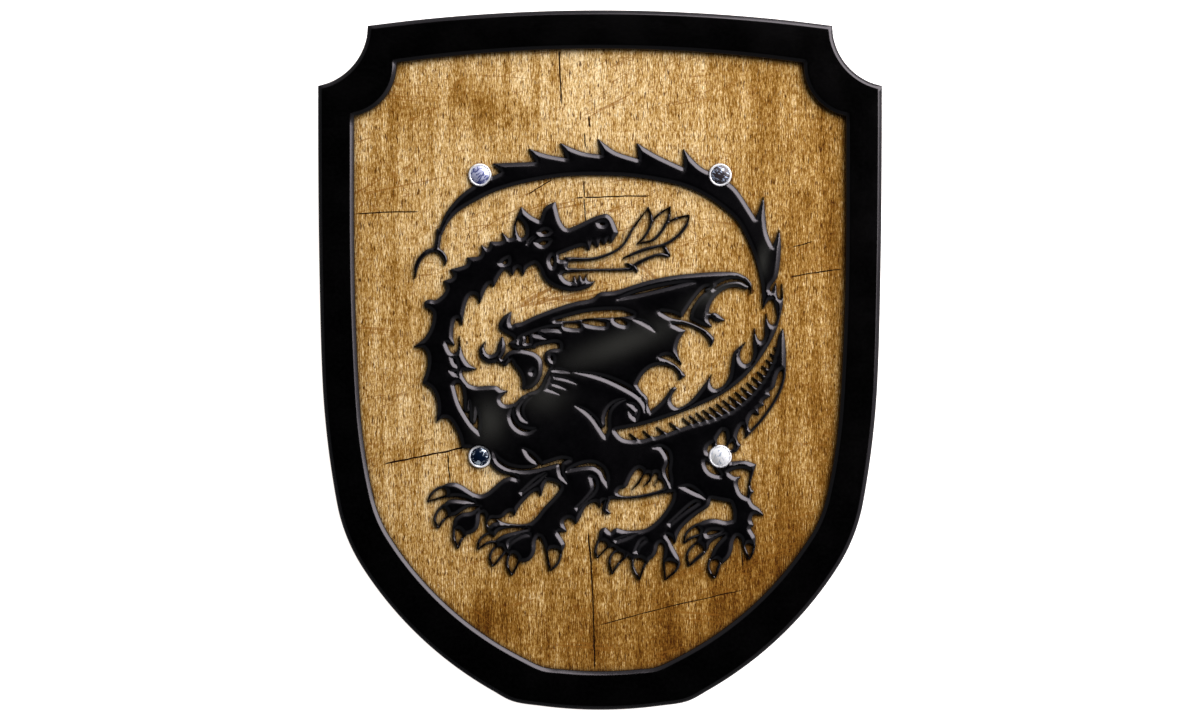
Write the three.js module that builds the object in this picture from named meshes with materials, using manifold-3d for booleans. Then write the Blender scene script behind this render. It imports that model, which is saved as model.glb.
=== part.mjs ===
// Heater shield, lying on its back. Millimetres, +Z out of the painted front, +Y towards the top edge.
// A flat wooden board carries a raised bevelled rim, a raised dragon and four dome-headed bolts, which
// hold two leather arm straps behind it. The origin is under the middle of the part, where it lies.
import * as THREE from "three";
import { mergeVertices } from "three/addons/utils/BufferGeometryUtils.js";
import Module from "manifold-3d";

const wasm = await Module();
wasm.setup();

// ---- driving dimensions -------------------------------------------------------------------------------

const HALF_WIDTH = 153.2;
const TOP_Y = 190;
const BOTTOM_Y = -190;
const BOARD_THICKNESS = 8;

const CROWN_RADIUS = 950; // the shallow arch of the top edge
// each side runs straight down, then turns in through four arcs, the last of which stops at the foot
const OUTER_SIDE = {
  straightTo: 130,
  arcs: [
    { radius: 4400, turn: 1.7, steps: 2 },
    { radius: 500, turn: 8.9, steps: 3 },
    { radius: 98, turn: 22, steps: 5 },
    { radius: 203, turn: 60, steps: 9 },
  ],
};
const FOOT_RADIUS = 245; // the shallow arc that blunts the point
const NOTCH = { x: 159.6, y: 181.7, radius: 33.4 }; // the scooped top corners

const RIM_WIDTH = 19.6;
const RIM_END_WIDTH = 21; // along the crown and the foot
const RIM_HEIGHT = 4;
const RIM_BEVEL = 2.3;
const RIM_WALL = 1.7; // upright part below the bevels
const [CROWN_STEPS, NOTCH_STEPS, FOOT_STEPS] = [6, 7, 3]; // facets along half of each
// the opening has its own arcs, so the rim is widest where it turns in towards the foot
const OPENING_SIDE = {
  straightTo: 76,
  arcs: [
    { radius: 1550, turn: 3.7, steps: 2 },
    { radius: 313, turn: 9.4, steps: 3 },
    { radius: 69, turn: 19.2, steps: 5 },
    { radius: 183, turn: 60, steps: 9 },
  ],
};
const INNER_CROWN_RADIUS = 800;
const INNER_FOOT_RADIUS = 210;
const INNER_NOTCH = { x: 139.2, y: 160.6, radius: 28.8 };

const DRAGON_HEIGHT = 3;
const DRAGON_TOLERANCE = 0.28; // how far a straight facet may leave the drawn curve
const DRAGON_SIMPLIFY = 0.18; // and how far a point left over from joining the shapes may move
const SAMPLES_PER_POINT = 12; // of a drawn curve, before it is thinned to the tolerance

const BOLT_X = 65.3;
const BOLT_TOP_Y = 100.5;
const BOLT_BOTTOM_Y = -52.5;
const BOLT_SHANK_RADIUS = 2.5;
const BOLT_HEAD_RADIUS = 6.3;
const BOLT_HEAD_HEIGHT = 3.1;
const BOLT_HEAD_EDGE = 0.7;
const BOLT_TAIL = 1.4; // thread standing out of the nut
const BOLT_CHAMFER = 0.4; // at the end of the thread
const BOLT_STEPS = 12; // sides of the bolts and the washers
const DOME_STEPS = 3;
const CLEARANCE = 0.3;
const HOLE_STEPS = 8; // sides of each bolt hole
const HEAD_HOLE_STEPS = 16; // and of the holes that the heads stand in

const STRAP_THICKNESS = 2.5;
const STRAP_WIDTH = 28;
const STRAP_TAB = 13; // leather beyond each bolt, and before it lifts off the board
const STRAP_BEND = 9; // radius of the four bends, at the middle of the leather
const STRAP_SLOPE = 52; // degrees
const STRAP_DROP = 22; // from the board to the outside of the arch
const STRAP_CORNER = 9; // radius of the corners of its ends
const STRAP_STEPS = 3; // facets of each bend and each corner

const WASHER_RADIUS = 7.5;
const WASHER_THICKNESS = 1.2;
const NUT_ACROSS_FLATS = 8;
const NUT_HEIGHT = 4;

const BACK = STRAP_DROP;
const FRONT = BACK + BOARD_THICKNESS;
const OVERCUT = 1; // how far a cutting shape stands out of what it cuts
const boltPlaces = [
  ["upper_left", -BOLT_X, BOLT_TOP_Y],
  ["upper_right", BOLT_X, BOLT_TOP_Y],
  ["lower_left", -BOLT_X, BOLT_BOTTOM_Y],
  ["lower_right", BOLT_X, BOLT_BOTTOM_Y],
];

const wood = new THREE.MeshStandardMaterial({ color: 0xd8b57c, roughness: 0.7, metalness: 0 });
const blackPaint = new THREE.MeshStandardMaterial({ color: 0x111112, roughness: 0.4, metalness: 0 });
const rimPaint = new THREE.MeshStandardMaterial({ color: 0x0b0b0b, roughness: 0.45, metalness: 0 });
const steel = new THREE.MeshStandardMaterial({ color: 0xd4d6d8, roughness: 0.15, metalness: 1 });
const leather = new THREE.MeshStandardMaterial({ color: 0x2a1c14, roughness: 0.7, metalness: 0 });

const shield = new THREE.Group();

function place(name, geometry, material) {
  const mesh = new THREE.Mesh(geometry, material);
  mesh.name = name;
  shield.add(mesh);
}

// ---- solids -------------------------------------------------------------------------------------------

function prism(points, low, high, holes = []) {
  const shape = new THREE.Shape(points.map(([x, y]) => new THREE.Vector2(x, y)));
  for (const hole of holes) {
    shape.holes.push(new THREE.Path(hole.map(([x, y]) => new THREE.Vector2(x, y))));
  }
  const geometry = new THREE.ExtrudeGeometry(shape, { depth: high - low, bevelEnabled: false });
  return geometry.translate(0, 0, low);
}

function circle(x, y, radius, steps) {
  return Array.from({ length: steps }, (_, i) => {
    const angle = (i / steps) * 2 * Math.PI;
    return [x + radius * Math.cos(angle), y + radius * Math.sin(angle)];
  });
}

function roundedRectangle(x, y, halfWidth, halfHeight, corner) {
  const points = [];
  for (const [turn, sideX, sideY] of [[0, 1, 1], [1, -1, 1], [2, -1, -1], [3, 1, -1]]) {
    for (let i = 0; i <= STRAP_STEPS; i += 1) {
      const angle = ((turn + i / STRAP_STEPS) * Math.PI) / 2;
      points.push([
        x + sideX * (halfWidth - corner) + corner * Math.cos(angle),
        y + sideY * (halfHeight - corner) + corner * Math.sin(angle),
      ]);
    }
  }
  return points;
}

function toManifold(geometry) {
  const bare = geometry.clone();
  bare.deleteAttribute("normal");
  bare.deleteAttribute("uv");
  const welded = mergeVertices(bare, 1e-4);
  const vertProperties = new Float32Array(welded.attributes.position.array);
  const triVerts = new Uint32Array(welded.index.array);
  return new wasm.Manifold(new wasm.Mesh({ numProp: 3, vertProperties, triVerts }));
}

function fromManifold(solid) {
  const { vertProperties, triVerts } = solid.getMesh();
  const geometry = new THREE.BufferGeometry();
  geometry.setAttribute("position", new THREE.BufferAttribute(vertProperties, 3));
  geometry.setIndex(new THREE.BufferAttribute(triVerts, 1));
  return geometry;
}

// A closed band through loops that have the same number of points, round and round like a tyre.
function loftedRing(loops) {
  const count = loops[0].length;
  const positions = loops.flat(2);
  const index = [];
  loops.forEach((_, l) => {
    const next = (l + 1) % loops.length;
    for (let i = 0; i < count; i += 1) {
      const j = (i + 1) % count;
      const [a, b, c, d] = [l * count + i, l * count + j, next * count + j, next * count + i];
      index.push(a, b, c, a, c, d);
    }
  });
  const geometry = new THREE.BufferGeometry();
  geometry.setAttribute("position", new THREE.Float32BufferAttribute(positions, 3));
  geometry.setIndex(index);
  return geometry;
}

// ---- the shield's outline -----------------------------------------------------------------------------

// Where two circles meet; side picks one of the two points.
function meet(a, b, side) {
  const [dx, dy] = [b.x - a.x, b.y - a.y];
  const distance = Math.hypot(dx, dy);
  const along = (distance ** 2 + a.radius ** 2 - b.radius ** 2) / (2 * distance);
  const across = side * Math.sqrt(a.radius ** 2 - along ** 2);
  return [a.x + (dx * along - dy * across) / distance, a.y + (dy * along + dx * across) / distance];
}

function arc(centre, from, to, steps) {
  const start = Math.atan2(from[1] - centre.y, from[0] - centre.x);
  let sweep = Math.atan2(to[1] - centre.y, to[0] - centre.x) - start;
  sweep -= 2 * Math.PI * Math.round(sweep / (2 * Math.PI));
  return Array.from({ length: steps }, (_, i) => {
    const angle = start + (sweep * (i + 1)) / steps;
    return [centre.x + centre.radius * Math.cos(angle), centre.y + centre.radius * Math.sin(angle)];
  });
}

// A shield shape, with the arcs of its sides moved inwards by inset.
function shieldOutline({ halfWidth, side, inset, topY, bottomY, crownRadius, footRadius, notch }) {
  const crown = { x: 0, y: topY - crownRadius, radius: crownRadius };
  const foot = { x: 0, y: bottomY + footRadius, radius: footRadius };
  const upperCusp = meet(notch, crown, -1);
  const lowerCusp = [halfWidth, notch.y - Math.sqrt(notch.radius ** 2 - (notch.x - halfWidth) ** 2)];
  const half = [[0, topY]];
  half.push(...arc(crown, [0, topY], upperCusp, CROWN_STEPS));
  half.push(...arc(notch, upperCusp, lowerCusp, NOTCH_STEPS));
  let from = [halfWidth, side.straightTo];
  half.push(from);
  let heading = 0;
  for (const { radius, turn, steps } of side.arcs) {
    const inner = radius - inset;
    const last = heading + THREE.MathUtils.degToRad(turn);
    const centre = {
      x: from[0] - inner * Math.cos(heading),
      y: from[1] + inner * Math.sin(heading),
      radius: inner,
    };
    let to = [centre.x + inner * Math.cos(last), centre.y - inner * Math.sin(last)];
    if (radius === side.arcs.at(-1).radius) to = meet(centre, foot, -1);
    half.push(...arc(centre, from, to, steps));
    heading = last;
    from = to;
  }
  half.push(...arc(foot, from, [0, bottomY], FOOT_STEPS));
  const mirrored = half.slice(1, -1).reverse().map(([x, y]) => [-x, y]);
  return [...half, ...mirrored].reverse();
}

function outerOutline(inset) {
  return shieldOutline({
    halfWidth: HALF_WIDTH - inset,
    side: OUTER_SIDE,
    inset,
    topY: TOP_Y - inset,
    bottomY: BOTTOM_Y + inset,
    crownRadius: CROWN_RADIUS - inset,
    footRadius: FOOT_RADIUS - inset,
    notch: { ...NOTCH, radius: NOTCH.radius + inset },
  });
}

function openingOutline(outset) {
  return shieldOutline({
    halfWidth: HALF_WIDTH - RIM_WIDTH + outset,
    side: OPENING_SIDE,
    inset: -outset,
    topY: TOP_Y - RIM_END_WIDTH + outset,
    bottomY: BOTTOM_Y + RIM_END_WIDTH - outset,
    crownRadius: INNER_CROWN_RADIUS + outset,
    footRadius: INNER_FOOT_RADIUS + outset,
    notch: { ...INNER_NOTCH, radius: INNER_NOTCH.radius - outset },
  });
}

function makeBoard() {
  const holes = boltPlaces.map(([, x, y]) => circle(x, y, BOLT_SHANK_RADIUS + CLEARANCE, HOLE_STEPS));
  place("board", prism(outerOutline(0), BACK, FRONT, holes), wood);
}

function makeRim() {
  const atHeight = (outline, z) => outline.map(([x, y]) => [x, y, FRONT + z]);
  const loops = [
    atHeight(outerOutline(0), 0),
    atHeight(outerOutline(0), RIM_WALL),
    atHeight(outerOutline(RIM_BEVEL), RIM_HEIGHT),
    atHeight(openingOutline(RIM_BEVEL), RIM_HEIGHT),
    atHeight(openingOutline(0), RIM_WALL),
    atHeight(openingOutline(0), 0),
  ];
  place("rim", loftedRing(loops), rimPaint);
}

// ---- drawing tools for the dragon ---------------------------------------------------------------------

// Drops the points that lie within DRAGON_TOLERANCE of the line between the ones kept.
function thinned(points) {
  const [first, last] = [points[0], points.at(-1)];
  const length = Math.hypot(last[0] - first[0], last[1] - first[1]) || 1e-9;
  let worst = 0;
  let split = 0;
  points.forEach(([x, y], i) => {
    const cross = (last[0] - first[0]) * (y - first[1]) - (last[1] - first[1]) * (x - first[0]);
    const away = length < 1e-6 ? Math.hypot(x - first[0], y - first[1]) : Math.abs(cross) / length;
    if (away > worst) [worst, split] = [away, i];
  });
  if (worst < DRAGON_TOLERANCE) return [first, last];
  return [...thinned(points.slice(0, split + 1)).slice(0, -1), ...thinned(points.slice(split))];
}

function smoothRun(points, closed) {
  if (points.length === 2) return points;
  const curve = new THREE.CatmullRomCurve3(
    points.map(([x, y]) => new THREE.Vector3(x, y, 0)), closed, "centripetal",
  );
  const steps = SAMPLES_PER_POINT * points.length;
  const samples = curve.getPoints(steps).map(({ x, y }) => [x, y]);
  if (!closed) return thinned(samples);
  const half = Math.round(steps / 2);
  return [...thinned(samples.slice(0, half + 1)).slice(0, -1), ...thinned(samples.slice(half))].slice(0, -1);
}

// A closed outline through the points given: round everywhere except at a point marked "tip".
function outline(points) {
  const firstTip = points.findIndex((point) => point[2] === "tip");
  if (firstTip < 0) return smoothRun(points, true);
  const turned = [...points.slice(firstTip), ...points.slice(0, firstTip + 1)];
  const result = [];
  let run = [turned[0]];
  for (const point of turned.slice(1)) {
    run.push(point);
    if (point[2] === "tip") {
      result.push(...smoothRun(run, false).slice(0, -1));
      run = [point];
    }
  }
  return result.map(([x, y]) => [x, y]);
}

// A brush stroke along [x, y, half width] points, pointed or blunt at its ends as its half width says.
function stroke(points) {
  const curve = new THREE.CatmullRomCurve3(
    points.map(([x, y, r]) => new THREE.Vector3(x, y, r)), false, "centripetal",
  );
  const steps = SAMPLES_PER_POINT * (points.length - 1);
  const left = [];
  const right = [];
  for (let i = 0; i <= steps; i += 1) {
    const { x, y, z } = curve.getPoint(i / steps);
    const tangent = curve.getTangent(i / steps);
    const length = Math.hypot(tangent.x, tangent.y);
    const [nx, ny] = [-tangent.y / length, tangent.x / length];
    const width = Math.max(z, 0.08);
    left.push([x + nx * width, y + ny * width]);
    right.push([x - nx * width, y - ny * width]);
  }
  return [...thinned(left), ...thinned(right).reverse()];
}

// ---- the dragon ---------------------------------------------------------------------------------------
// It walks to the left with its head turned back to the right and breathes a small flame. The tail rises
// at the right and arches back over the wing and the head to a forked tip at the left.

function tail() {
  return [
    outline([
      [-88.8, 68, "tip"], [-84.5, 78.5], [-76.8, 88.5], [-68.6, 94.8], [-60, 99], [-53.7, 102, "tip"],
      [-58.4, 106.8, "tip"], [-48, 107.4], [-35, 107.6, "tip"],
      [-38.7, 114.8, "tip"], [-30, 112], [-18.3, 109.7, "tip"],
      [-21.5, 117.9, "tip"], [-10, 113.2], [0.5, 111.5, "tip"],
      [-0.9, 120, "tip"], [8, 113.6], [21, 109.2, "tip"],
      [20, 117.9, "tip"], [31, 111.4], [45.5, 104.5, "tip"],
      [45.3, 114.7, "tip"], [55, 104.8], [66, 99.5], [74, 93], [79, 85.5], [84.6, 77, "tip"],
      [88.9, 88.8, "tip"], [89.7, 80], [91, 69], [93.8, 62, "tip"],
      [97.5, 70.9, "tip"], [98.3, 64], [97.8, 55], [96.7, 46.5], [95, 42.7], [93, 40.5],
      [92.2, 37.4], [93.6, 37.2], [94.2, 39.4], [95.6, 41.7, "tip"], [95.9, 38], [96.4, 34], [97.4, 31.2],
      [98.4, 33], [98.6, 37], [98.9, 41.6, "tip"], [99.5, 36], [99.3, 31.5], [98.4, 26.5], [96, 28],
      [94.2, 33, "tip"], [91.5, 32.2], [88.6, 27.8, "tip"],
      [88.3, 35], [86.9, 45], [84.2, 55], [80.2, 65], [74, 76], [67.5, 81.8], [60, 87.3],
      [50, 92.5], [40, 95.7], [30, 97.6], [15, 99.7], [0, 100.3], [-15, 100], [-30, 98.3],
      [-45, 95.2], [-60, 90.3], [-70, 84.8], [-78, 79.8], [-83.5, 73], [-85.7, 68, "tip"],
    ]),
    stroke([[-87.2, 71, 1.6], [-87.9, 66, 1.3], [-88.9, 60.5, 1.6]]),
    stroke([[-88, 60.3, 1.5], [-94, 58.7, 1.2], [-98, 54.6, 1.1], [-100, 49.5, 0.9], [-100.4, 44.2, 0]]),
    stroke([[-89.5, 60.4, 1.4], [-85.8, 58, 1.1], [-83.9, 54.5, 0.9], [-84.4, 51, 0]]),
  ];
}

function head() {
  return [
    outline([
      [-50, 62, "tip"], [-47, 66.5], [-47, 71], [-46, 76], [-44.3, 80], [-42.8, 83.2, "tip"],
      [-39.2, 79.8], [-36, 77.5], [-32.7, 75.8, "tip"],
      [-31.8, 79], [-30.3, 82.4], [-28, 84.3], [-24.2, 85.9, "tip"], [-22.8, 80], [-21, 75], [-18, 71.5],
      [-14, 73], [-8, 75.6], [0, 78.8], [4, 79.2], [6.8, 76.6], [8.3, 72.5], [10, 69.2, "tip"],
      [8.3, 66.5], [6.3, 63.5, "tip"], [4.3, 65.6, "tip"], [2.5, 62.6, "tip"], [0.2, 65.1, "tip"],
      [-1.2, 61.2, "tip"], [-4.4, 64.1, "tip"], [-5.8, 59.5, "tip"], [-9, 61.7], [-15, 59.8],
      [-22.4, 57.2, "tip"], [-22.2, 54.4, "tip"], [-17.6, 54], [-17.8, 49.6, "tip"], [-20.8, 46.2, "tip"],
      [-18.4, 43.4], [-15.1, 42.2, "tip"], [-14, 45.8, "tip"], [-12.6, 42.4, "tip"], [-11, 46.3, "tip"],
      [-9.4, 43.2, "tip"], [-6.8, 46.9, "tip"], [-7.3, 44], [-5.6, 42.6], [-2.6, 43, "tip"],
      [-4.6, 40.4], [-8, 38.7], [-12, 37.6], [-16, 37.4], [-20, 38], [-24, 39.4], [-28.3, 41.9],
      [-31.2, 45.3], [-32.7, 49], [-35.3, 52.4], [-42, 54],
    ]),
  ];
}

function tongueAndFlame() {
  return [
    stroke([[-19, 54.6, 1.3], [-12, 54.7, 0.9], [-4, 55, 0.8], [4, 57.2, 0.7], [10, 60.3, 0.6],
      [14, 64.5, 0.6], [17, 70, 0.6], [21.5, 76.3, 0.6], [26.3, 83, 0.2]]),
    stroke([[26.3, 83.5, 0], [27.8, 78.5, 0.6], [27.6, 73.4, 0.7], [24.3, 67.2, 0.6], [19.8, 62.6, 0.2]]),
    stroke([[27.9, 74.6, 0.5], [32, 79.2, 0.6], [38.2, 83.3, 0.2]]),
    stroke([[38.4, 83.7, 0], [37.4, 77.6, 0.7], [34.2, 71, 0.7], [29, 65.4, 0.6], [22, 63.5, 0.3]]),
    stroke([[35.8, 74, 0.5], [40.5, 76.6, 0.6], [48.4, 78.8, 0.3]]),
    stroke([[48.8, 78.9, 0], [46.9, 73.2, 0.7], [41, 66.4, 0.7], [34.5, 62.6, 0.8], [26, 60.6, 0.8],
      [18.5, 57.8, 0.9], [12.5, 55.3, 0.3]]),
    stroke([[34.8, 62.6, 0.4], [36.2, 59.4, 0.6], [37.7, 56.5, 0.6], [33, 57.4, 0.7], [26, 55.3, 0.8],
      [20.5, 52.6, 1], [16.5, 50, 0.7]]),
    stroke([[-19.5, 48.7, 1.4], [-12, 48.9, 0.8], [0, 49, 0.7], [11, 49, 0.8], [18, 49.4, 0.9]]),
    stroke([[13.6, 52.6, 0], [17, 51.4, 0.8], [19.3, 49.6, 0.9], [20.5, 47.6, 0]]),
  ];
}

function neckAndChest() {
  return [
    outline([
      [-45, 67, "tip"], [-50, 66.3], [-53.2, 69.4, "tip"], [-52.7, 65], [-59.7, 64.4, "tip"],
      [-61, 60.6], [-64.4, 62.5, "tip"], [-65, 56.9], [-72.2, 55.7, "tip"], [-72.2, 52.4],
      [-81.3, 49.2, "tip"], [-79.6, 45.3], [-85, 43, "tip"], [-83.4, 38.6], [-89.3, 32.6],
      [-93, 32.8], [-95.4, 31.4], [-95.3, 29], [-93, 27.6], [-91, 26], [-91.1, 21], [-92.6, 16.5],
      [-95.5, 11.8], [-101.2, 7.3, "tip"], [-96.5, 6.6], [-94, 3.5], [-93.6, -2], [-94.8, -7.5],
      [-96.5, -12.4, "tip"], [-92, -15.2], [-89.3, -19.5], [-88.3, -25], [-88.9, -34, "tip"],
      [-86.3, -31.9], [-82.5, -31.9], [-79, -36.5], [-76.3, -42], [-75.1, -47.6, "tip"],
      [-40, -47], [-30, -30], [-40, -18.7], [-45.3, -22.3], [-48.5, -24.7], [-52.3, -24],
      [-54.1, -21.6], [-53.3, -19.9], [-50, -16.7, "tip"], [-53.5, -16.2], [-56.2, -14.2, "tip"],
      [-68.5, -14.1], [-72, -12.4], [-74.1, -9.4], [-74.9, -6], [-70.5, -5.9], [-66.9, -4.8, "tip"],
      [-70.3, -3], [-73.3, 0.8], [-75.1, 5], [-75.9, 9], [-76.4, 13.2, "tip"], [-76.7, 8.5], [-77.3, 5.3],
      [-79, 3.4], [-80.8, 4], [-82.4, 6.3], [-83.6, 9.4, "tip"], [-81.4, 8.7], [-79, 8, "tip"],
      [-79.8, 12], [-79.2, 17.5], [-78.4, 22.2], [-76.6, 22.4], [-75, 18.8, "tip"],
      [-74, 23], [-72.2, 32], [-70, 35.4], [-67, 34.8], [-65.4, 30.6, "tip"], [-62.8, 36.5],
      [-59.8, 41.4], [-57.6, 39.8, "tip"], [-55.6, 43.6], [-51.4, 49.2], [-47.3, 46, "tip"],
      [-44.8, 50.2], [-41.7, 45.9, "tip"], [-39.5, 50], [-35.3, 52.4],
      [-30, 60, "tip"],
    ]),
  ];
}

// The wing's long leading edge rises from a hooked wrist, and its membrane hangs from it in scallops.
function wing() {
  return [
    outline([
      [-48, 26.4, "tip"], [-48.5, 22], [-48, 18.6], [-46.4, 19.8], [-43, 20.4], [-39, 22.4],
      [-32, 25.3], [-24, 28.3], [-14, 31.4], [-4, 33.6, "tip"], [-0.3, 36.5, "tip"], [8, 37.5],
      [18, 40.8], [30, 44], [42, 46.1], [56, 47.4], [68, 47.8], [75.5, 47], [80, 44.3], [82.4, 40.8],
      [82.2, 35.7, "tip"], [81.3, 40], [78.4, 43], [73.5, 44], [68, 43.2], [64.5, 41.6], [60.8, 39.8, "tip"],
      [57, 39.3, "tip"], [52.5, 34.6], [48.4, 28.6], [44.5, 23.1, "tip"], [39, 25.4], [32.6, 26.2, "tip"],
      [38, 23.2], [46, 21.2], [53, 18.6], [59, 15], [62, 11.2], [60.2, 7.2, "tip"], [59.3, 10.8],
      [55.5, 15], [50, 18], [44.5, 19.4], [39.2, 19.6, "tip"], [46.5, 16, "tip"], [43.4, 11.5],
      [42, 6.5], [42.6, 1.8], [44.5, -2.3, "tip"], [40.8, 0.6], [36.8, 2.6], [32.6, 1.4, "tip"],
      [37.5, -0.4], [42, -3.6], [46.5, -8.6, "tip"], [43, -11.2, "tip"], [42.3, -7], [39.5, -4.2],
      [34, -2.9], [28.5, -3.8], [23.8, -7.4], [20.2, -13.4, "tip"], [22.4, -17], [25.8, -20.6],
      [26.2, -25], [27.5, -27.9, "tip"], [10, -34], [-12, -40], [-30, -30], [-40, -18.7], [-34, -15.8],
      [-31.6, -12.6], [-29.6, -8], [-28.2, -5.4, "tip"], [-26.9, -3.7], [-28.6, -2.2], [-30.1, 0.8],
      [-29.8, 4], [-27.6, 5.6], [-21.8, 6.3, "tip"], [-22.2, 9], [-28, 8.8], [-36.2, 7, "tip"],
      [-36.9, 12.6, "tip"], [-29, 11.4, "tip"], [-32.4, 15.2, "tip"], [-26, 15.5], [-20.6, 14.8, "tip"],
      [-20.3, 19.8, "tip"], [-27, 19], [-35, 16.6], [-42, 14], [-45, 12], [-45.8, 9.2, "tip"],
      [-47, 12], [-51, 14.6], [-54.6, 16.8], [-55, 19.4], [-52.5, 23.6],
    ]),
    outline([
      [49, 22, "tip"], [49.2, 26], [52, 31.5], [56, 36], [59.5, 37.6], [62, 38.5], [66, 41], [71, 42.5],
      [76, 42.5], [80.6, 40, "tip"], [80, 38.5], [75.5, 39.5], [70.5, 39.3], [65.5, 36.8], [61.4, 32.5],
      [59.2, 27], [58.9, 22], [60.8, 18, "tip"], [57, 18.4], [53, 20.4],
    ]),
    stroke([[57.6, 37, 1.5], [60.6, 38.8, 1.3], [62.5, 41.5, 1.5]]),
    stroke([[57.8, 24.5, 0.8], [62, 23.8, 0.9], [63, 23.7, 0.9]]),
    outline([[60.4, 25.4], [62.6, 25.5], [65.4, 24], [67.8, 21.6, "tip"], [64.5, 20.8], [61.6, 21.8]]),
    // the wrist: a curled claw, a blunt thumb and the palm
    stroke([[-47.5, 10.5, 2.6], [-45.6, 7.4, 1.6], [-42.6, 6.9, 0.9], [-38.5, 6.8, 0.7], [-35, 7.6, 1.2]]),
    stroke([[-43.4, 6.2, 1.2], [-42.6, 8.6, 0.8], [-41.8, 11.7, 0]]),
    stroke([[-44.6, 8, 0.9], [-44.4, 5, 0.9], [-44, 2.5, 1]]),
    stroke([[-43, 3.2, 2.2], [-46.5, 3.4, 2.2], [-49.8, 1.4, 2.2], [-52.4, -2.6, 1.4]]),
    outline([
      [-45.5, 5.8], [-40, 5.2], [-35, 3.6], [-31.8, 0.4], [-31.2, -4], [-32, -9.6], [-35, -13.8],
      [-38.5, -15.9], [-42.3, -15.9, "tip"], [-42.4, -11], [-43.8, -7], [-46.5, -3.6], [-48.2, 0],
    ]),
    stroke([[-62.4, 10.2, 0], [-64.2, 5.8, 1.4], [-62.4, 1.6, 2], [-58.2, 0.6, 2.4], [-54.6, 3.2, 2.2],
      [-53.4, 7.6, 2.1], [-53.2, 12.6, 0.3]]),
    stroke([[-56.5, 0.6, 1.2], [-54, -0.6, 1.1], [-51.6, -1.8, 1.2]]),
  ];
}

function wingSlits() {
  return [
    stroke([
      [-24.2, 21.4, 0.2], [-16, 22.6, 1.3], [-6, 24.4, 1.8], [4, 25, 2], [12, 25.2, 1.8],
      [18.2, 24.5, 0.3],
    ]),
    stroke([
      [9.2, 32.8, 0.4], [16, 35, 1.7], [26, 37.6, 2.1], [38, 40.3, 1.9], [47, 42.1, 1.2],
      [52.6, 42.3, 0.3],
    ]),
    stroke([[-19.8, 19, 0.9], [-15.5, 18.7, 1.4], [-10.6, 18.4, 1.2]]),
    stroke([[-9.8, 20.6, 0.5], [-3, 20.2, 1.5], [3.4, 19.4, 1.2]]),
    stroke([[7.6, 21.7, 0.4], [11, 21, 1.5], [14.6, 19.4, 0.8]]),
    stroke([[18.2, 22.2, 0.4], [22.5, 20.8, 1.5], [27, 18.4, 1.4], [30.4, 15.2, 0.2]]),
    outline([[-26.8, 4.2], [-24.4, 2.6], [-23.9, -0.6], [-25.4, -2.4], [-27.8, -0.8], [-28.4, 2.2]]),
    outline([[-36, -3.7], [-34.8, -5.2], [-34.9, -7.6], [-36.6, -8.7], [-38.7, -7.2], [-38, -5]]),
    // fur behind the shoulder
    stroke([[-27.6, -5.6, 0.2], [-23, -5.5, 1.3], [-18, -6, 0.8], [-15.6, -6.8, 0.1]]),
    stroke([[-14.2, -6.4, 0.2], [-6, -7.9, 1.4], [2, -9.6, 1.8], [10, -12.8, 2.1], [17, -16.6, 2.1],
      [22, -20.6, 1.7], [24.3, -24.6, 1.3], [24.4, -28.4, 0.2]]),
    stroke([[-26, -9, 1.2], [-22, -9.6, 1], [-17, -11, 1], [-12, -13, 0.2]]),
    stroke([[-26.2, -8.6, 1], [-27, -12, 1.4], [-28.8, -15.6, 1.1]]),
    stroke([[-27, -12.6, 1.1], [-22.6, -13.6, 1], [-17.8, -16, 0.1]]),
    stroke([[-29.8, -15.4, 1.1], [-26, -16.6, 1.1], [-21.4, -18.8, 0.1]]),
  ];
}

// The back, from between the wings to the root of the tail, with four spines.
function back() {
  return [
    outline([
      [0, -24, "tip"], [27.3, -28, "tip"], [34, -21.8], [39.8, -14.7], [41.8, -15.4, "tip"], [39.4, -18.6],
      [38.8, -23], [41.5, -25.8], [46, -24.7], [51.5, -19.8], [56.4, -13.6], [60.8, -7.6, "tip"],
      [59.8, -11.8], [61.6, -15.4], [65.6, -15], [69.8, -9.8], [71.4, -3], [72.6, 4], [79.3, 9.7, "tip"],
      [76.4, 5], [76.2, 0.6], [78.8, -2.4], [82.2, -0.4], [83.5, 6], [83.2, 12], [84.1, 17.3, "tip"],
      [85, 12.8], [87.4, 10], [89.4, 12.4], [89.6, 19], [90.4, 25.4, "tip"], [91.4, 20.6], [94, 18.7],
      [96.1, 22], [95.7, 28], [94.2, 33, "tip"], [98, 33, "tip"], [99.4, 32], [98.4, 26.4], [96.8, 19.4],
      [94.2, 12.8], [91, 7], [87, 0.7], [82, -5.7], [76, -11.6], [69, -16.9], [60, -22], [50, -26.3],
      [40, -30], [30, -33.4], [20, -36], [8.2, -38.2, "tip"], [-6, -34, "tip"],
    ]),
  ];
}

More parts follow.
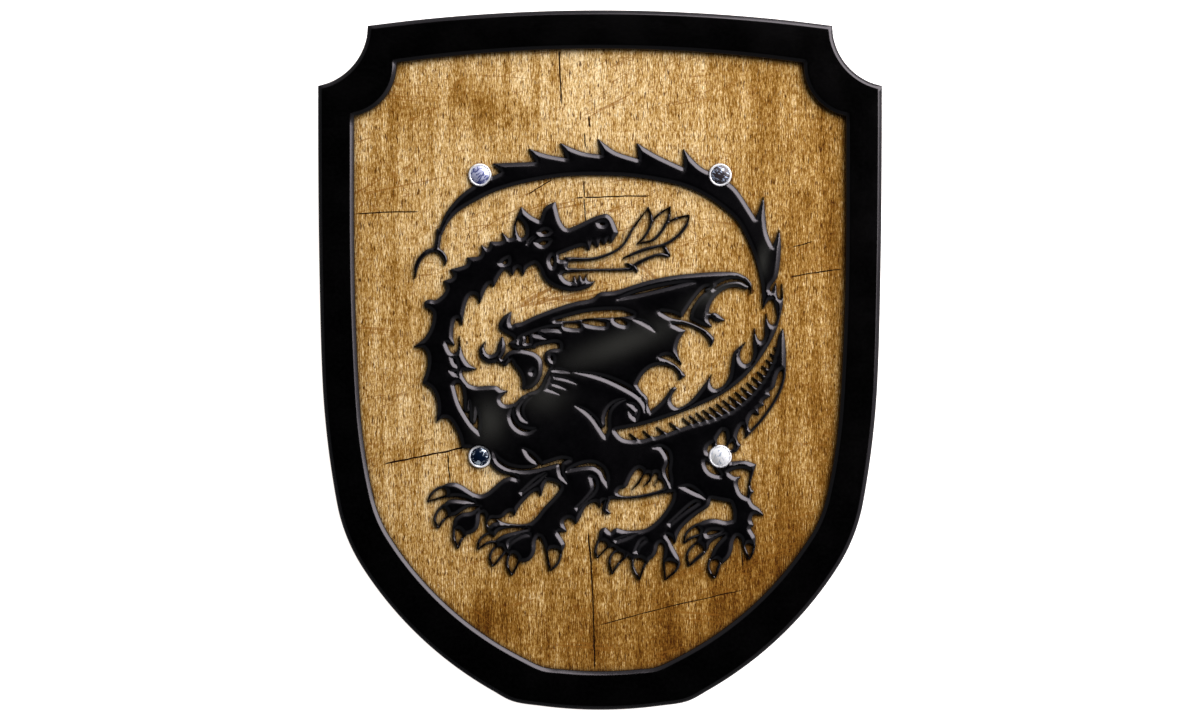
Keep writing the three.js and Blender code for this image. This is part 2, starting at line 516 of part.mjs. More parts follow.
// The pleats of the hide under the back: teeth that reach up and left from the flank towards the back.
function pleats() {
  const backEdge = new THREE.CatmullRomCurve3([
    [8.2, -38.2], [20, -36], [30, -33.4], [40, -30], [50, -26.3], [60, -22], [69, -16.9], [76, -11.6],
    [82, -5.7], [87, 0.7], [91, 7], [94.2, 12.8],
  ].map(([x, y]) => new THREE.Vector3(x, y, 0)));
  const length = backEdge.getLength();
  const [widePitch, finePitch, wideCount, gap] = [7.4, 3.9, 5, 2.9];
  const teeth = [];
  let along = widePitch;
  while (along < length - finePitch) {
    const { x, y } = backEdge.getPointAt(along / length);
    const tangent = backEdge.getTangentAt(along / length);
    const [tipX, tipY] = [x + tangent.y * gap, y - tangent.x * gap];
    const reach = 9.2 - 5 * (along / length) ** 4;
    teeth.push(stroke([
      [tipX, tipY, 0.1],
      [tipX + reach * 0.4, tipY - reach * 0.33, 0.8],
      [tipX + reach * 0.8, tipY - reach * 0.66, 1],
    ]));
    along += teeth.length < wideCount ? widePitch : finePitch;
  }
  return teeth;
}

function trunk() {
  return [
    outline([
      [-66, -20, "tip"], [-52.5, -24, "tip"], [-46, -23.5, "tip"], [-36, -17.2, "tip"], [-10, -22, "tip"],
      [4, -30, "tip"], [8.2, -38.2, "tip"], [12.5, -42.6], [21, -43.4], [30, -41.4], [38, -39.2], [46, -36.2],
      [55, -33.4], [63, -31.4], [71, -28], [78, -22.8], [84.4, -16.6], [89.4, -9.8], [93, -3], [95.4, 4],
      [96.6, 10], [97.4, 13.8], [99.4, 17.1, "tip"], [100.5, 11], [100.9, 4], [101, -4], [100.5, -10],
      [98.6, -16.5], [95.6, -22.5], [91.5, -28.7], [86.5, -35], [81, -40.3], [77.5, -44.3],
      [74.3, -49.6, "tip"], [66, -52, "tip"], [72, -58, "tip"], [74, -78, "tip"], [60.4, -75.4, "tip"],
      [42, -84, "tip"], [39.8, -71.8, "tip"], [33.5, -72.5], [26, -74.3], [18, -75.1], [10, -75.4],
      [1.8, -76.4], [-0.2, -80.4, "tip"], [-1.6, -77.4], [-12, -80, "tip"], [-30, -66, "tip"],
      [-44.8, -64.5, "tip"], [-46.8, -62.9, "tip"], [-50.5, -62.2], [-55, -60.8], [-58.2, -58],
      [-60.4, -53.5], [-61, -48, "tip"], [-74, -47.6, "tip"],
    ]),
    stroke([[4.6, -74.6, 1.5], [3.2, -78.4, 1.3], [3, -81.8, 1.3], [5.8, -83.4, 0.2]]),
  ];
}

function flankSlits() {
  return [
    // beside the shoulder
    outline([
      [-81.6, 1.8], [-79.4, 2.3], [-77.6, 1.4], [-76.6, -2], [-76.1, -6.4], [-76.9, -9.2, "tip"],
      [-79.6, -8.6], [-82.2, -5.7, "tip"], [-78.2, -4.7, "tip"], [-80.6, -2],
    ]),
    outline([
      [-81, -13.4, "tip"], [-78.4, -10.9], [-74.6, -11.8], [-73, -17], [-72.3, -26.8, "tip"], [-70.8, -21.4],
      [-69.7, -26], [-69, -33.2, "tip"], [-67.3, -25.2], [-65.3, -28], [-64.4, -35], [-65.3, -41.3, "tip"],
      [-69, -38.2], [-73.6, -32], [-77.8, -24.4], [-79.8, -18],
    ]),
    // curls on the shoulder
    stroke([[-47.4, -25.6, 0.3], [-48.3, -30, 1.8], [-46.2, -35, 2.2], [-42, -38, 2.3], [-38, -38.3, 1.9],
      [-34.4, -37.2, 0.3]]),
    stroke([[-36.8, -19.5, 0.2], [-41, -22.6, 1.4], [-43.2, -27, 1.9], [-42, -31.4, 1.6], [-38.8, -34, 0.2]]),
    // the elbow and the foreleg
    stroke([[-57.8, -49.6, 0.3], [-56, -54, 1.9], [-50.5, -58, 2.2], [-44, -59.4, 2.1], [-38, -59.4, 2],
      [-32, -58, 2.3], [-26, -56.2, 2.4], [-20, -54.6, 2.4], [-15.2, -54, 0.8]]),
    stroke([[-41.9, -47.9, 0.5], [-38.6, -51, 2.1], [-34.6, -54.7, 2.2], [-31.5, -57.6, 1.4]]),
    stroke([[-21.4, -56, 2], [-21.4, -60, 1.8], [-20.3, -63.4, 1.7], [-17.6, -67, 0.2]]),
    stroke([[-18.8, -60.6, 0.6], [-15, -58.9, 1.5], [-9, -57.2, 2.3], [-3, -57.2, 2.5], [1.2, -60, 2.5],
      [3, -64.4, 2.2], [4.2, -69.3, 0.2]]),
    stroke([[-5.6, -62.8, 0.8], [-3.4, -65.6, 2.2], [-3, -70, 1.8], [-7, -75.2, 1.3], [-13, -81, 1.1]]),
    stroke([[-29, -61.2, 0.6], [-32, -63.4, 1.5], [-37, -67.2, 1.3], [-43.2, -72.6, 1.1]]),
    // the belly and the thigh
    stroke([[-13.6, -24.6, 0.2], [-9, -27.1, 1.2], [-4, -31.3, 1.6], [0, -36.6, 1.8], [2.6, -42.4, 0.4]]),
    stroke([
      [3, -43, 0.6], [3.6, -38, 2.3], [3.4, -32, 2.3], [5, -26.6, 1.9], [9, -22.9, 1.4],
      [14.2, -21, 0.2],
    ]),
    stroke([[14.8, -23.4, 0.3], [18.6, -25, 1.6], [20.4, -28, 1.3], [19.4, -32.4, 1.2]]),
    stroke([[15.6, -27.4, 0.3], [17.4, -30, 1.5], [20, -33, 0.9]]),
    outline([
      [9.6, -72.4], [10.8, -70.2], [14, -69.3], [16, -65.4], [18.6, -61], [21.4, -58.8], [23.5, -60.4],
      [22.4, -63.4], [17, -70.8, "tip"], [21.4, -67], [24.6, -61.8], [27.4, -61.8], [27, -64.4],
      [23.3, -68.9, "tip"], [27.4, -65.8], [29.4, -61.6], [31.6, -61.6], [31.2, -65], [28.8, -68.6, "tip"],
      [32.6, -64.4], [34.8, -67.2], [34.9, -69.4], [31, -71.1], [25, -72.7], [18, -73.8], [12, -73.9],
    ]),
    stroke([[28.6, -47.6, 0.4], [32.6, -47.4, 1.6], [36.2, -50.4, 2.4], [37.4, -55, 2], [36.4, -60, 2.4],
      [37.4, -64.8, 2.2], [38.8, -69.8, 0.6]]),
    stroke([[43, -68.8, 0.3], [48, -69.4, 2], [53, -72.2, 1.8], [57.6, -75.4, 0.2]]),
    stroke([[37.3, -89.7, 1.3], [41.5, -86, 1.4], [47.5, -81, 1.7], [52.2, -77.8, 1.9], [54.6, -77.4, 0.8]]),
    stroke([[65.9, -48.8, 2.6], [66.2, -44, 2.7], [67.4, -38.4, 0.9]]),
    stroke([[69.6, -48.6, 1.2], [71.4, -46.6, 1.7], [72.6, -44.4, 0.5]]),
    stroke([[61.6, -45.2, 0.3], [59.8, -48, 1.4], [60.6, -53.4, 0.8]]),
    stroke([[57.2, -54.9, 0.2], [59.2, -57.6, 1.6], [61.6, -60.2, 1.6], [65.4, -62.6, 0.2]]),
    stroke([[77.6, -35.4, 0.6], [77, -39.6, 2], [76.6, -43.4, 2], [76.6, -45.9, 0.6]]),
    // a long slit between the haunch and its thin outer edge
    outline([
      [99.6, -5.2], [97.4, -6.4], [95.6, -12.6], [94, -15.6], [91.6, -17.3], [92.6, -19.6, "tip"],
      [88.6, -22.6],
      [89.2, -24.5, "tip"], [85.8, -26.2], [86.5, -29.9, "tip"], [83.4, -28.6], [81.2, -32.4], [80.6, -36.4],
      [81.6, -38.4, "tip"], [85.4, -34.3], [90.4, -27.9], [94.4, -21.8], [97.3, -15.8], [99.1, -9.7],
    ]),
    // the heel
    outline([
      [70, -61.2, "tip"], [73, -59.6], [78, -59], [81.9, -60.4, "tip"], [81, -65], [80.6, -70.4],
      [80, -74.7, "tip"], [77, -72.8], [75.1, -68.6], [75, -65.2], [76.6, -63.4, "tip"], [73, -63.3],
    ]),
  ];
}

const CLAW_LINE = 0.6; // half the width of the line that a claw is drawn with

// A hollow claw: one line along its back and one along its underside, which meet at the tip.
function claw(backPoints, bellyPoints, tip) {
  const line = (points) => points.map(([x, y]) => [x, y, CLAW_LINE]);
  return [
    stroke([...line(backPoints), [...tip, CLAW_LINE / 2]]),
    stroke([...line(bellyPoints), [...tip, CLAW_LINE / 2]]),
  ];
}

function foreFeet() {
  return [
    outline([
      [-40, -60, "tip"], [-44.8, -64.5, "tip"], [-48.5, -63.5], [-52, -64.4], [-56, -67.4], [-60, -71],
      [-63.5, -72.9], [-67, -72.9], [-71, -70.9], [-75, -68.2], [-79, -66.7], [-83, -67],
      [-85.9, -68.4, "tip"],
      [-83.4, -71], [-83, -74.7, "tip"], [-78, -74.3], [-72.5, -75.3], [-68, -77.6, "tip"], [-73, -76.3],
      [-78, -75.9], [-82, -76, "tip"], [-85.9, -79.5, "tip"], [-83.3, -81.6], [-82.4, -85, "tip"],
      [-79, -84.6],
      [-75, -82.2], [-71, -79.9], [-65.8, -79.6, "tip"], [-70, -82.4], [-75, -83.2], [-79.1, -86.4, "tip"],
      [-80, -91.6, "tip"], [-76.4, -92], [-73.6, -95.4, "tip"], [-69.4, -94], [-66.4, -91.4], [-65.3, -87],
      [-64.9, -83.2], [-63.2, -83], [-62.2, -86], [-62, -90.5], [-60.7, -94, "tip"], [-57.8, -95.4],
      [-56.2, -99.2, "tip"], [-55.9, -101, "tip"], [-53, -101.6], [-51.4, -104.2, "tip"],
      [-49.4, -105.4, "tip"],
      [-46.6, -105.2], [-44.6, -107.2], [-43.7, -109.6, "tip"], [-40, -109.6], [-36.8, -107.4],
      [-35.1, -103.6], [-34.8, -98.4], [-33.4, -95.8], [-31.7, -97.4], [-30.6, -101], [-29.3, -104.6, "tip"],
      [-27.2, -102.8], [-23.8, -102.4], [-20.6, -104.2, "tip"], [-19, -100.6], [-20.4, -97.3],
      [-22.9, -93.5, "tip"], [-18, -93.2, "tip"], [-19.2, -90.6], [-19.5, -87.6], [-17, -86], [-14.8, -87],
      [-13, -89.2, "tip"], [-10.9, -86], [-9.2, -82.2], [-6.8, -78.9], [-3.6, -77.4], [0, -77, "tip"],
      [0, -66, "tip"],
    ]),
    ...claw(
      [[-84, -68.3], [-88.4, -69.9], [-91.9, -73.2]], [[-82, -73.4], [-86, -74.6], [-90, -75.8]],
      [-93.7, -76.9],
    ),
    ...claw(
      [[-85, -78.8], [-88.2, -82.2], [-89.8, -86.6]], [[-81.5, -84.4], [-84, -86], [-86.2, -88.4]],
      [-87.7, -91.4],
    ),
    ...claw(
      [[-79.3, -89.5], [-79.6, -93], [-79.3, -97]], [[-72.4, -94.2], [-74.6, -96.6], [-76, -99]],
      [-77, -102.4],
    ),
    ...claw(
      [[-59.8, -93.6], [-63.4, -95.6], [-65.9, -98.8]], [[-56, -98.6], [-59.6, -98.8], [-62.8, -100.4]],
      [-66.2, -102.9],
    ),
    ...claw(
      [[-54.8, -100.6], [-58.2, -103], [-59.8, -107]], [[-51.2, -103.6], [-53.6, -106.6], [-55.9, -109.6]],
      [-58.3, -112.2],
    ),
    ...claw(
      [[-48.6, -104.4], [-50.2, -108], [-50.1, -112.4]], [[-43.8, -108.4], [-44.6, -110.6], [-45.8, -113]],
      [-47.8, -117],
    ),
    ...claw(
      [[-29, -104], [-28.1, -108], [-27.6, -111.4]], [[-20.8, -103.4], [-21.6, -107.4], [-23.4, -111.2]],
      [-26.8, -114.4],
    ),
  ];
}

function foreFeetSlits() {
  return [
    outline([
      [-28.8, -65.8], [-25.4, -66.2], [-21.4, -68.4], [-22.4, -71.2], [-26.4, -75.6], [-31.4, -81.2],
      [-36, -86.8], [-39.6, -88.9], [-46, -89.2], [-52, -88.4], [-56.8, -86.3, "tip"], [-53, -85.6],
      [-49.6, -82.6], [-47.6, -82.4], [-46.4, -84.7, "tip"], [-44.6, -81], [-40.4, -75.6], [-36.6, -72.2],
      [-33.8, -71.2], [-32, -74, "tip"], [-30.4, -70],
    ]),
    outline([[-61.2, -88.4], [-59, -86.2], [-56, -86.6], [-55.6, -88], [-58.4, -88.6], [-60.4, -90.6]]),
    stroke([
      [-57.2, -97.4, 0.8], [-54.2, -94.2, 1.4], [-49.6, -92.8, 1.5], [-44, -92, 1.1],
      [-39.4, -91.6, 0.2],
    ]),
    stroke([
      [-49.8, -103, 0.4], [-49.2, -99.4, 1.4], [-45.4, -96.6, 1.4], [-41, -94.7, 1.3],
      [-37.6, -94.6, 0.9],
    ]),
  ];
}

function hindFeet() {
  return [
    outline([
      [30, -60, "tip"], [40.2, -70.6, "tip"], [39.4, -75], [37.2, -79.4], [34, -84], [30, -88.2],
      [25.4, -91.4],
      [20, -92.6], [13, -92.5], [8.6, -91.4], [5.8, -93.7, "tip"], [2.6, -90.9], [0.4, -92.2], [-0.8, -95],
      [-0.5, -98, "tip"], [3.2, -98.8], [5, -101.8, "tip"], [7.6, -101.6], [9.6, -103.7, "tip"],
      [12.6, -105], [13.5, -108.2, "tip"], [15.4, -106.2], [17.2, -108.2, "tip"], [21.8, -107.6],
      [25.5, -109.8, "tip"], [29, -107.2], [31, -103.6], [31.8, -100.2], [33.2, -99.2], [34.8, -101],
      [34.3, -105], [34.1, -109.8, "tip"], [38.4, -109.2], [43.4, -111, "tip"], [43.2, -108.4],
      [40.6, -102.8],
      [38, -98], [36.2, -95, "tip"], [38.6, -96.2], [41, -99.6, "tip"], [42, -96.8], [43, -93.6], [46, -89.7],
      [50, -86.3], [54, -82.9], [57.6, -80.9], [59.6, -78.7], [60.4, -74.6, "tip"], [50, -60, "tip"],
    ]),
    outline([
      [58, -60, "tip"], [60.4, -73.8, "tip"], [65, -73.9], [69.7, -74.1, "tip"], [71.2, -78], [72.4, -82.5],
      [72.3, -86.8, "tip"], [68, -87.5], [64, -86.6], [60, -86.4], [56, -87.4], [52.3, -89.4, "tip"],
      [54.6, -92.4], [53.7, -95.6, "tip"], [52.8, -99, "tip"], [55.8, -101.2], [57.4, -104.6, "tip"],
      [58.6, -102.4], [60.2, -99.4], [64, -96.5], [67.9, -95, "tip"], [64.8, -99], [62, -102], [60.8, -105.6],
      [59.5, -108.8, "tip"], [63.4, -108], [66.4, -110.6, "tip"], [69.8, -107.8], [71.8, -103.6],
      [72.8, -98.2],
      [74.4, -95.6], [76.4, -97], [77.7, -101.6, "tip"], [80.4, -99.6], [84.3, -100.4, "tip"], [84.6, -97],
      [83.3, -93.8], [81.7, -91.4], [83.6, -89.8, "tip"], [82.4, -86.6], [83.4, -84], [89, -84.5, "tip"],
      [86.6, -80.8], [83, -78], [81.8, -75], [82.2, -72.6], [83.7, -71.6, "tip"], [81.8, -69.4], [82, -66],
      [83.6, -62], [84.8, -56.8, "tip"], [80, -55], [74.8, -54.9], [68, -56, "tip"],
    ]),
    ...claw(
      [[-0.2, -97], [-1.8, -100.6], [-2.5, -104.4]], [[5.2, -100.9], [3, -103.2], [1, -105.2]],
      [-1.3, -107.4],
    ),
    ...claw(
      [[9.4, -103.2], [6.6, -105.4], [5.2, -109.4]], [[13.4, -107], [10.8, -109.8], [8.6, -112.8]],
      [6.6, -116.3],
    ),
    ...claw(
      [[17.7, -107.4], [17.8, -111.6], [19.2, -115.4]], [[26.4, -108.6], [24.2, -111.6], [23, -115]],
      [21.6, -119.3],
    ),
    ...claw(
      [[34.6, -108.8], [35, -112.4], [35.2, -115.6]], [[43.2, -110.4], [42, -113.4], [39.2, -116.2]],
      [35.5, -119.4],
    ),
    ...claw(
      [[53, -89.2], [48.9, -91.9], [46.3, -95.4]], [[54.2, -95], [51, -96], [48.4, -97.2]],
      [45.7, -99.6],
    ),
    ...claw(
      [[53.4, -98.4], [49.9, -101.4], [47.4, -105.4]], [[57, -104], [54.2, -106.2], [51.2, -109]],
      [48.4, -112],
    ),
    ...claw(
      [[59.8, -108], [58.9, -112], [60, -115.6]], [[65.6, -110], [64.4, -112.6], [63.8, -115.2]],
      [62.6, -118.5],
    ),
    ...claw(
      [[78, -100.6], [79, -103.4], [80.2, -106]], [[84, -99.6], [83.6, -102.6], [82.6, -105.4]],
      [81.3, -108.4],
    ),
  ];
}

function hindFeetSlits() {
  return [
    stroke([[8, -98.6, 1.2], [12.4, -97, 1.3], [17, -95.2, 1.4], [20.4, -93.8, 0.4]]),
    stroke([[19.4, -105, 1.5], [20.6, -101.6, 1.4], [22.8, -98.8, 1.8], [25.4, -97, 1.4]]),
    outline([
      [56.2, -94.4], [58.2, -91.8], [63, -90.9], [67.2, -91.9], [66.8, -94], [62.6, -95.6],
      [58, -96.6],
    ]),
  ];
}

function headSlits() {
  return [
    outline([
      [-44.5, 77.2, "tip"], [-42.2, 74.8], [-40.4, 71], [-40.8, 67.4], [-43, 66.4], [-45.2, 69.6],
      [-45.6, 73.6],
    ]),
    outline([[-2, 74.6], [0.4, 76.2], [3.6, 75.6], [4.6, 73.6], [2.6, 71.8], [-0.6, 72.2]]),
    outline([
      [-34.4, 69.4, "tip"], [-31, 71.9], [-28, 71.8], [-25.4, 69.9, "tip"], [-28.4, 67.2],
      [-31.8, 67.2],
    ]),
    outline([
      [-36, 64, "tip"], [-32, 66.1], [-29, 66.4], [-25.8, 65.6, "tip"], [-27.4, 62.6], [-30.6, 60.8],
      [-34, 61.8],
    ]),
    stroke([[-39.6, 62.4, 0.4], [-38, 65, 0.9], [-35, 67.4, 0.2]]),
    outline([
      [-25.8, 58.4], [-23.9, 56.8], [-23.4, 53.6], [-24.4, 49.8], [-26.4, 49.2], [-28.4, 52],
      [-28.2, 56],
    ]),
    outline([
      [-55.6, 52.4, "tip"], [-52, 55.8], [-48.8, 56.9, "tip"], [-48.4, 53.8], [-49.9, 50.9],
      [-53, 50.6],
    ]),
  ];
}

function makeDragon() {
  const [low, high] = [FRONT, FRONT + DRAGON_HEIGHT];
  const solid = (points, depth = 0) => toManifold(prism(points, low - depth, high + depth));
  const raised = [
    ...tail(), ...head(), ...tongueAndFlame(), ...neckAndChest(), ...wing(), ...back(), ...pleats(),
    ...trunk(), ...foreFeet(), ...hindFeet(),
  ].map((points) => solid(points));
  const cuts = [
    ...wingSlits(), ...flankSlits(), ...foreFeetSlits(), ...hindFeetSlits(), ...headSlits(),
    ...boltPlaces.map(([, x, y]) => circle(x, y, BOLT_HEAD_RADIUS + CLEARANCE, HEAD_HOLE_STEPS)),
  ].map((points) => solid(points, OVERCUT));
  let dragon = raised[0];
  for (const piece of raised.slice(1)) dragon = dragon.add(piece);
  for (const cut of cuts) dragon = dragon.subtract(cut);
  place("dragon", fromManifold(dragon.asOriginal().simplify(DRAGON_SIMPLIFY)), blackPaint);
}

// ---- bolts, nuts, washers and straps ------------------------------------------------------------------

function makeBolts() {
  const underStrap = BACK - STRAP_THICKNESS;
  const nutTop = underStrap - WASHER_THICKNESS;
  const shankEnd = nutTop - NUT_HEIGHT - BOLT_TAIL;
  const rise = BOLT_HEAD_HEIGHT - BOLT_HEAD_EDGE;
  const profile = [
    [0, shankEnd], [BOLT_SHANK_RADIUS - BOLT_CHAMFER, shankEnd], [BOLT_SHANK_RADIUS, shankEnd + BOLT_CHAMFER],
    [BOLT_SHANK_RADIUS, FRONT], [BOLT_HEAD_RADIUS, FRONT], [BOLT_HEAD_RADIUS, FRONT + BOLT_HEAD_EDGE],
  ];
  for (let i = 1; i <= DOME_STEPS; i += 1) {
    const angle = (i / DOME_STEPS) * (Math.PI / 2);
    const radius = i === DOME_STEPS ? 0 : BOLT_HEAD_RADIUS * Math.cos(angle);
    profile.push([radius, FRONT + BOLT_HEAD_EDGE + rise * Math.sin(angle)]);
  }
  const hexagon = circle(0, 0, NUT_ACROSS_FLATS / 2 / Math.cos(Math.PI / 6), 6);
  const bore = circle(0, 0, BOLT_SHANK_RADIUS + CLEARANCE, HOLE_STEPS);
  const washerRing = circle(0, 0, WASHER_RADIUS, BOLT_STEPS);
  for (const [where, x, y] of boltPlaces) {
    const bolt = new THREE.LatheGeometry(profile.map(([r, z]) => new THREE.Vector2(r, z)), BOLT_STEPS);
    place(`bolt_${where}`, bolt.rotateX(Math.PI / 2).translate(x, y, 0), steel);
    place(`washer_${where}`, prism(washerRing, nutTop, underStrap, [bore]).translate(x, y, 0), steel);
    place(`nut_${where}`, prism(hexagon, nutTop - NUT_HEIGHT, nutTop, [bore]).translate(x, y, 0), steel);
  }
}

// The middle line of a strap as [y, z, heading] stations, from its upper tab to its lower one.
function strapStations() {
  const middle = (BOLT_TOP_Y + BOLT_BOTTOM_Y) / 2;
  const top = BACK - STRAP_THICKNESS / 2;
  const bottom = STRAP_THICKNESS / 2;
  const slope = THREE.MathUtils.degToRad(STRAP_SLOPE);
  const bendDrop = 2 * STRAP_BEND * (1 - Math.cos(slope));
  const straight = (top - bottom - bendDrop) / Math.sin(slope);
  const bendRun = 2 * STRAP_BEND * Math.sin(slope);
  const liftOff = BOLT_TOP_Y - STRAP_TAB;
  const landing = liftOff - bendRun - straight * Math.cos(slope);
  const half = [[BOLT_TOP_Y + STRAP_TAB, top, 0]];
  for (let i = 0; i <= STRAP_STEPS; i += 1) {
    const heading = (slope * i) / STRAP_STEPS;
    half.push([liftOff - STRAP_BEND * Math.sin(heading), top - STRAP_BEND * (1 - Math.cos(heading)), heading]);
  }
  for (let i = STRAP_STEPS; i >= 0; i -= 1) {
    const heading = (slope * i) / STRAP_STEPS;
    half.push([landing + STRAP_BEND * Math.sin(heading), bottom + STRAP_BEND * (1 - Math.cos(heading)), heading]);
  }
  const mirrored = half.map(([y, z, heading]) => [2 * middle - y, z, -heading]).reverse();
  return [...half, ...mirrored];
}

function makeStraps() {
  const half = STRAP_THICKNESS / 2;
  const face = (side) => strapStations().map(([y, z, heading]) => [
    y - side * half * Math.sin(heading), z + side * half * Math.cos(heading),
  ]);
  const section = [...face(1), ...face(-1).reverse()];
  const middle = (BOLT_TOP_Y + BOLT_BOTTOM_Y) / 2;
  const halfLength = (BOLT_TOP_Y - BOLT_BOTTOM_Y) / 2 + STRAP_TAB;
  const above = STRAP_DROP + OVERCUT;
  for (const [side, x] of [["left", -BOLT_X], ["right", BOLT_X]]) {
    const ribbon = prism(section, -STRAP_WIDTH / 2, STRAP_WIDTH / 2);
    // the section lies in (y, z), so its extrusion turns to run along X
    const turn = new THREE.Matrix4().makeBasis(
      new THREE.Vector3(0, 1, 0), new THREE.Vector3(0, 0, 1), new THREE.Vector3(1, 0, 0),
    );
    const trim = roundedRectangle(x, middle, STRAP_WIDTH / 2, halfLength, STRAP_CORNER);
    let strap = toManifold(ribbon.applyMatrix4(turn).translate(x, 0, 0));
    strap = strap.intersect(toManifold(prism(trim, -OVERCUT, above)));
    for (const y of [BOLT_TOP_Y, BOLT_BOTTOM_Y]) {
      const bore = circle(x, y, BOLT_SHANK_RADIUS + CLEARANCE, HOLE_STEPS);
      strap = strap.subtract(toManifold(prism(bore, BACK - STRAP_THICKNESS - OVERCUT, above)));
    }
    place(`strap_${side}`, fromManifold(strap), leather);
  }
}

makeBoard();
makeRim();
makeDragon();
makeBolts();
makeStraps();

export default shield;
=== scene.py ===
"""Looks of the heater shield: worn wood, black bevelled rim and dragon, polished bolts, leather straps.

Lengths are in metres, in the frame of the CAD part: +Z out of the painted front, +Y towards the top edge.
Texture sizes are in millimetres, because every material reads its coordinates through millimetres().
"""
import math

import bpy
import numpy as np
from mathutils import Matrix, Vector, noise
from mathutils.geometry import delaunay_2d_cdt
from mathutils.kdtree import KDTree


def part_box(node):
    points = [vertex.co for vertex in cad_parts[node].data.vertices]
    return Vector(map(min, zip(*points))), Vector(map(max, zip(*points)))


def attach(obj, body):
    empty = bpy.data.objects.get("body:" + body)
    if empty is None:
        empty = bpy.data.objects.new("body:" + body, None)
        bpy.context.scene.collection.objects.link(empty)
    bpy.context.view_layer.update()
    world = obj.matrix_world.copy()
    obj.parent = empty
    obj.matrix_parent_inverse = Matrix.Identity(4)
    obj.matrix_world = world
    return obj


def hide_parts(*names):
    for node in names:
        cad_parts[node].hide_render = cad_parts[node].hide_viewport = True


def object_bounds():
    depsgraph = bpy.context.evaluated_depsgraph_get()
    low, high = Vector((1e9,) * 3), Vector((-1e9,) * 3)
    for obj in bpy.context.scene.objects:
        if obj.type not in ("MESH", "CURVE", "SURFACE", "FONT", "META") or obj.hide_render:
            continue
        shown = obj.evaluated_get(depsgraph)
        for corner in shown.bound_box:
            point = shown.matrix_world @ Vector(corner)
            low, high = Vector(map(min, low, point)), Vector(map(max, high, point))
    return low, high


MM = 0.001
SNAP = 1e6  # steps to a metre, to which CAD vertices are rounded so that shared ones match
FLAT = 1e-5  # how far a face may lie from the height that is asked for

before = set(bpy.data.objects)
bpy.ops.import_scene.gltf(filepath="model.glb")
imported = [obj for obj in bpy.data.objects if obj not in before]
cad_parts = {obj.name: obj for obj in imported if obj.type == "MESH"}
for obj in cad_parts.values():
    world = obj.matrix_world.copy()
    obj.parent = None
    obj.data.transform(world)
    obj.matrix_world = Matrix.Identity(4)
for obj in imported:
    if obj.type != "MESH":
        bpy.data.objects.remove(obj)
cad_box = [list(corner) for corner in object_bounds()]

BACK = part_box("board")[0].z
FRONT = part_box("board")[1].z
BOLTS = ("upper_left", "upper_right", "lower_left", "lower_right")


# ---- outlines --------------------------------------------------------------------------------------------


def face_loops(node, height, facing=1, axis=2):
    """Outlines of a CAD node's flat faces at a height along an axis, as (n, 2) arrays, tallest first."""
    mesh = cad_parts[node].data
    corners = [tuple(round(c * SNAP) for c in v.co) for v in mesh.vertices]
    sides = set()
    for polygon in mesh.polygons:
        if polygon.normal[axis] * facing > 0.99 and abs(polygon.center[axis] - height) < FLAT:
            ring = [corners[v] for v in polygon.vertices]
            sides.update(zip(ring, ring[1:] + ring[:1]))
    onward = {}
    for start, end in sorted(sides):
        if (end, start) not in sides:
            onward.setdefault(start, []).append(end)
    loops = []
    while onward:
        start = next(iter(onward))
        loop, here = [], start
        while not loop or here != start:
            loop.append(here)
            following = onward[here].pop()
            if not onward[here]:
                del onward[here]
            here = following
        loops.append(np.delete(np.array(loop), axis, 1) / SNAP)
    return sorted(loops, key=lambda loop: -np.ptp(loop[:, 1]))


def cubic(a, b, leave, arrive, shares):
    """Points at shares of the cubic curve from a to b that leaves and arrives with these slopes."""
    t = shares[:, None]
    return (
        (2 * t**3 - 3 * t**2 + 1) * a
        + (t**3 - 2 * t**2 + t) * leave
        + (3 * t**2 - 2 * t**3) * b
        + (t**3 - t**2) * arrive
    )


def curve_between(before, a, b, after, shares):
    """Points at shares of the centripetal Catmull-Rom span from a to b."""
    spans = ((before, a), (a, b), (b, after))
    gap0, gap1, gap2 = (math.sqrt(max(np.linalg.norm(q - p), 1e-9)) for p, q in spans)
    leave = ((a - before) / gap0 - (b - before) / (gap0 + gap1) + (b - a) / gap1) * gap1
    arrive = ((b - a) / gap1 - (after - a) / (gap1 + gap2) + (after - b) / gap2) * gap1
    return cubic(a, b, leave, arrive, shares)


def corner_flags(loop, corner_angle):
    """Which points of the closed loop turn by more than the corner angle."""
    sides = np.roll(loop, -1, 0) - loop
    heading = np.arctan2(sides[:, 1], sides[:, 0])
    turn = (heading - np.roll(heading, 1) + math.pi) % (2 * math.pi) - math.pi
    return np.abs(turn) > corner_angle


def smoothed(loop, corners, counts):
    """The closed loop as a curve through its points, sharp at its corners, with counts[i] points a side."""
    n = len(loop)
    result = []
    for i in range(n):
        j = (i + 1) % n
        before = 2 * loop[i] - loop[j] if corners[i] else loop[i - 1]
        after = 2 * loop[j] - loop[i] if corners[j] else loop[(j + 1) % n]
        result.append(curve_between(before, loop[i], loop[j], after, np.arange(counts[i]) / counts[i]))
    return np.clip(np.concatenate(result), loop.min(0), loop.max(0))


def side_counts(loop, step):
    """How many points each side of the loop takes at about this step."""
    lengths = np.linalg.norm(np.roll(loop, -1, 0) - loop, axis=1)
    return np.maximum(1, np.round(lengths / step)).astype(int)


def smooth_loop(loop, corner_angle, step):
    """The closed loop as a curve in about this step, sharp where it turns by more than the corner angle."""
    return smoothed(loop, corner_flags(loop, corner_angle), side_counts(loop, step))


def doubled_area(loop):
    """Twice the area within a loop, negative when the loop runs clockwise."""
    x, y = loop.T
    return np.sum(x * np.roll(y, -1) - np.roll(x, -1) * y)


def circle(centre, radius, angles):
    """Points of a circle at these angles, as an (n, 2) array."""
    return np.column_stack([np.cos(angles), np.sin(angles)]) * radius + centre


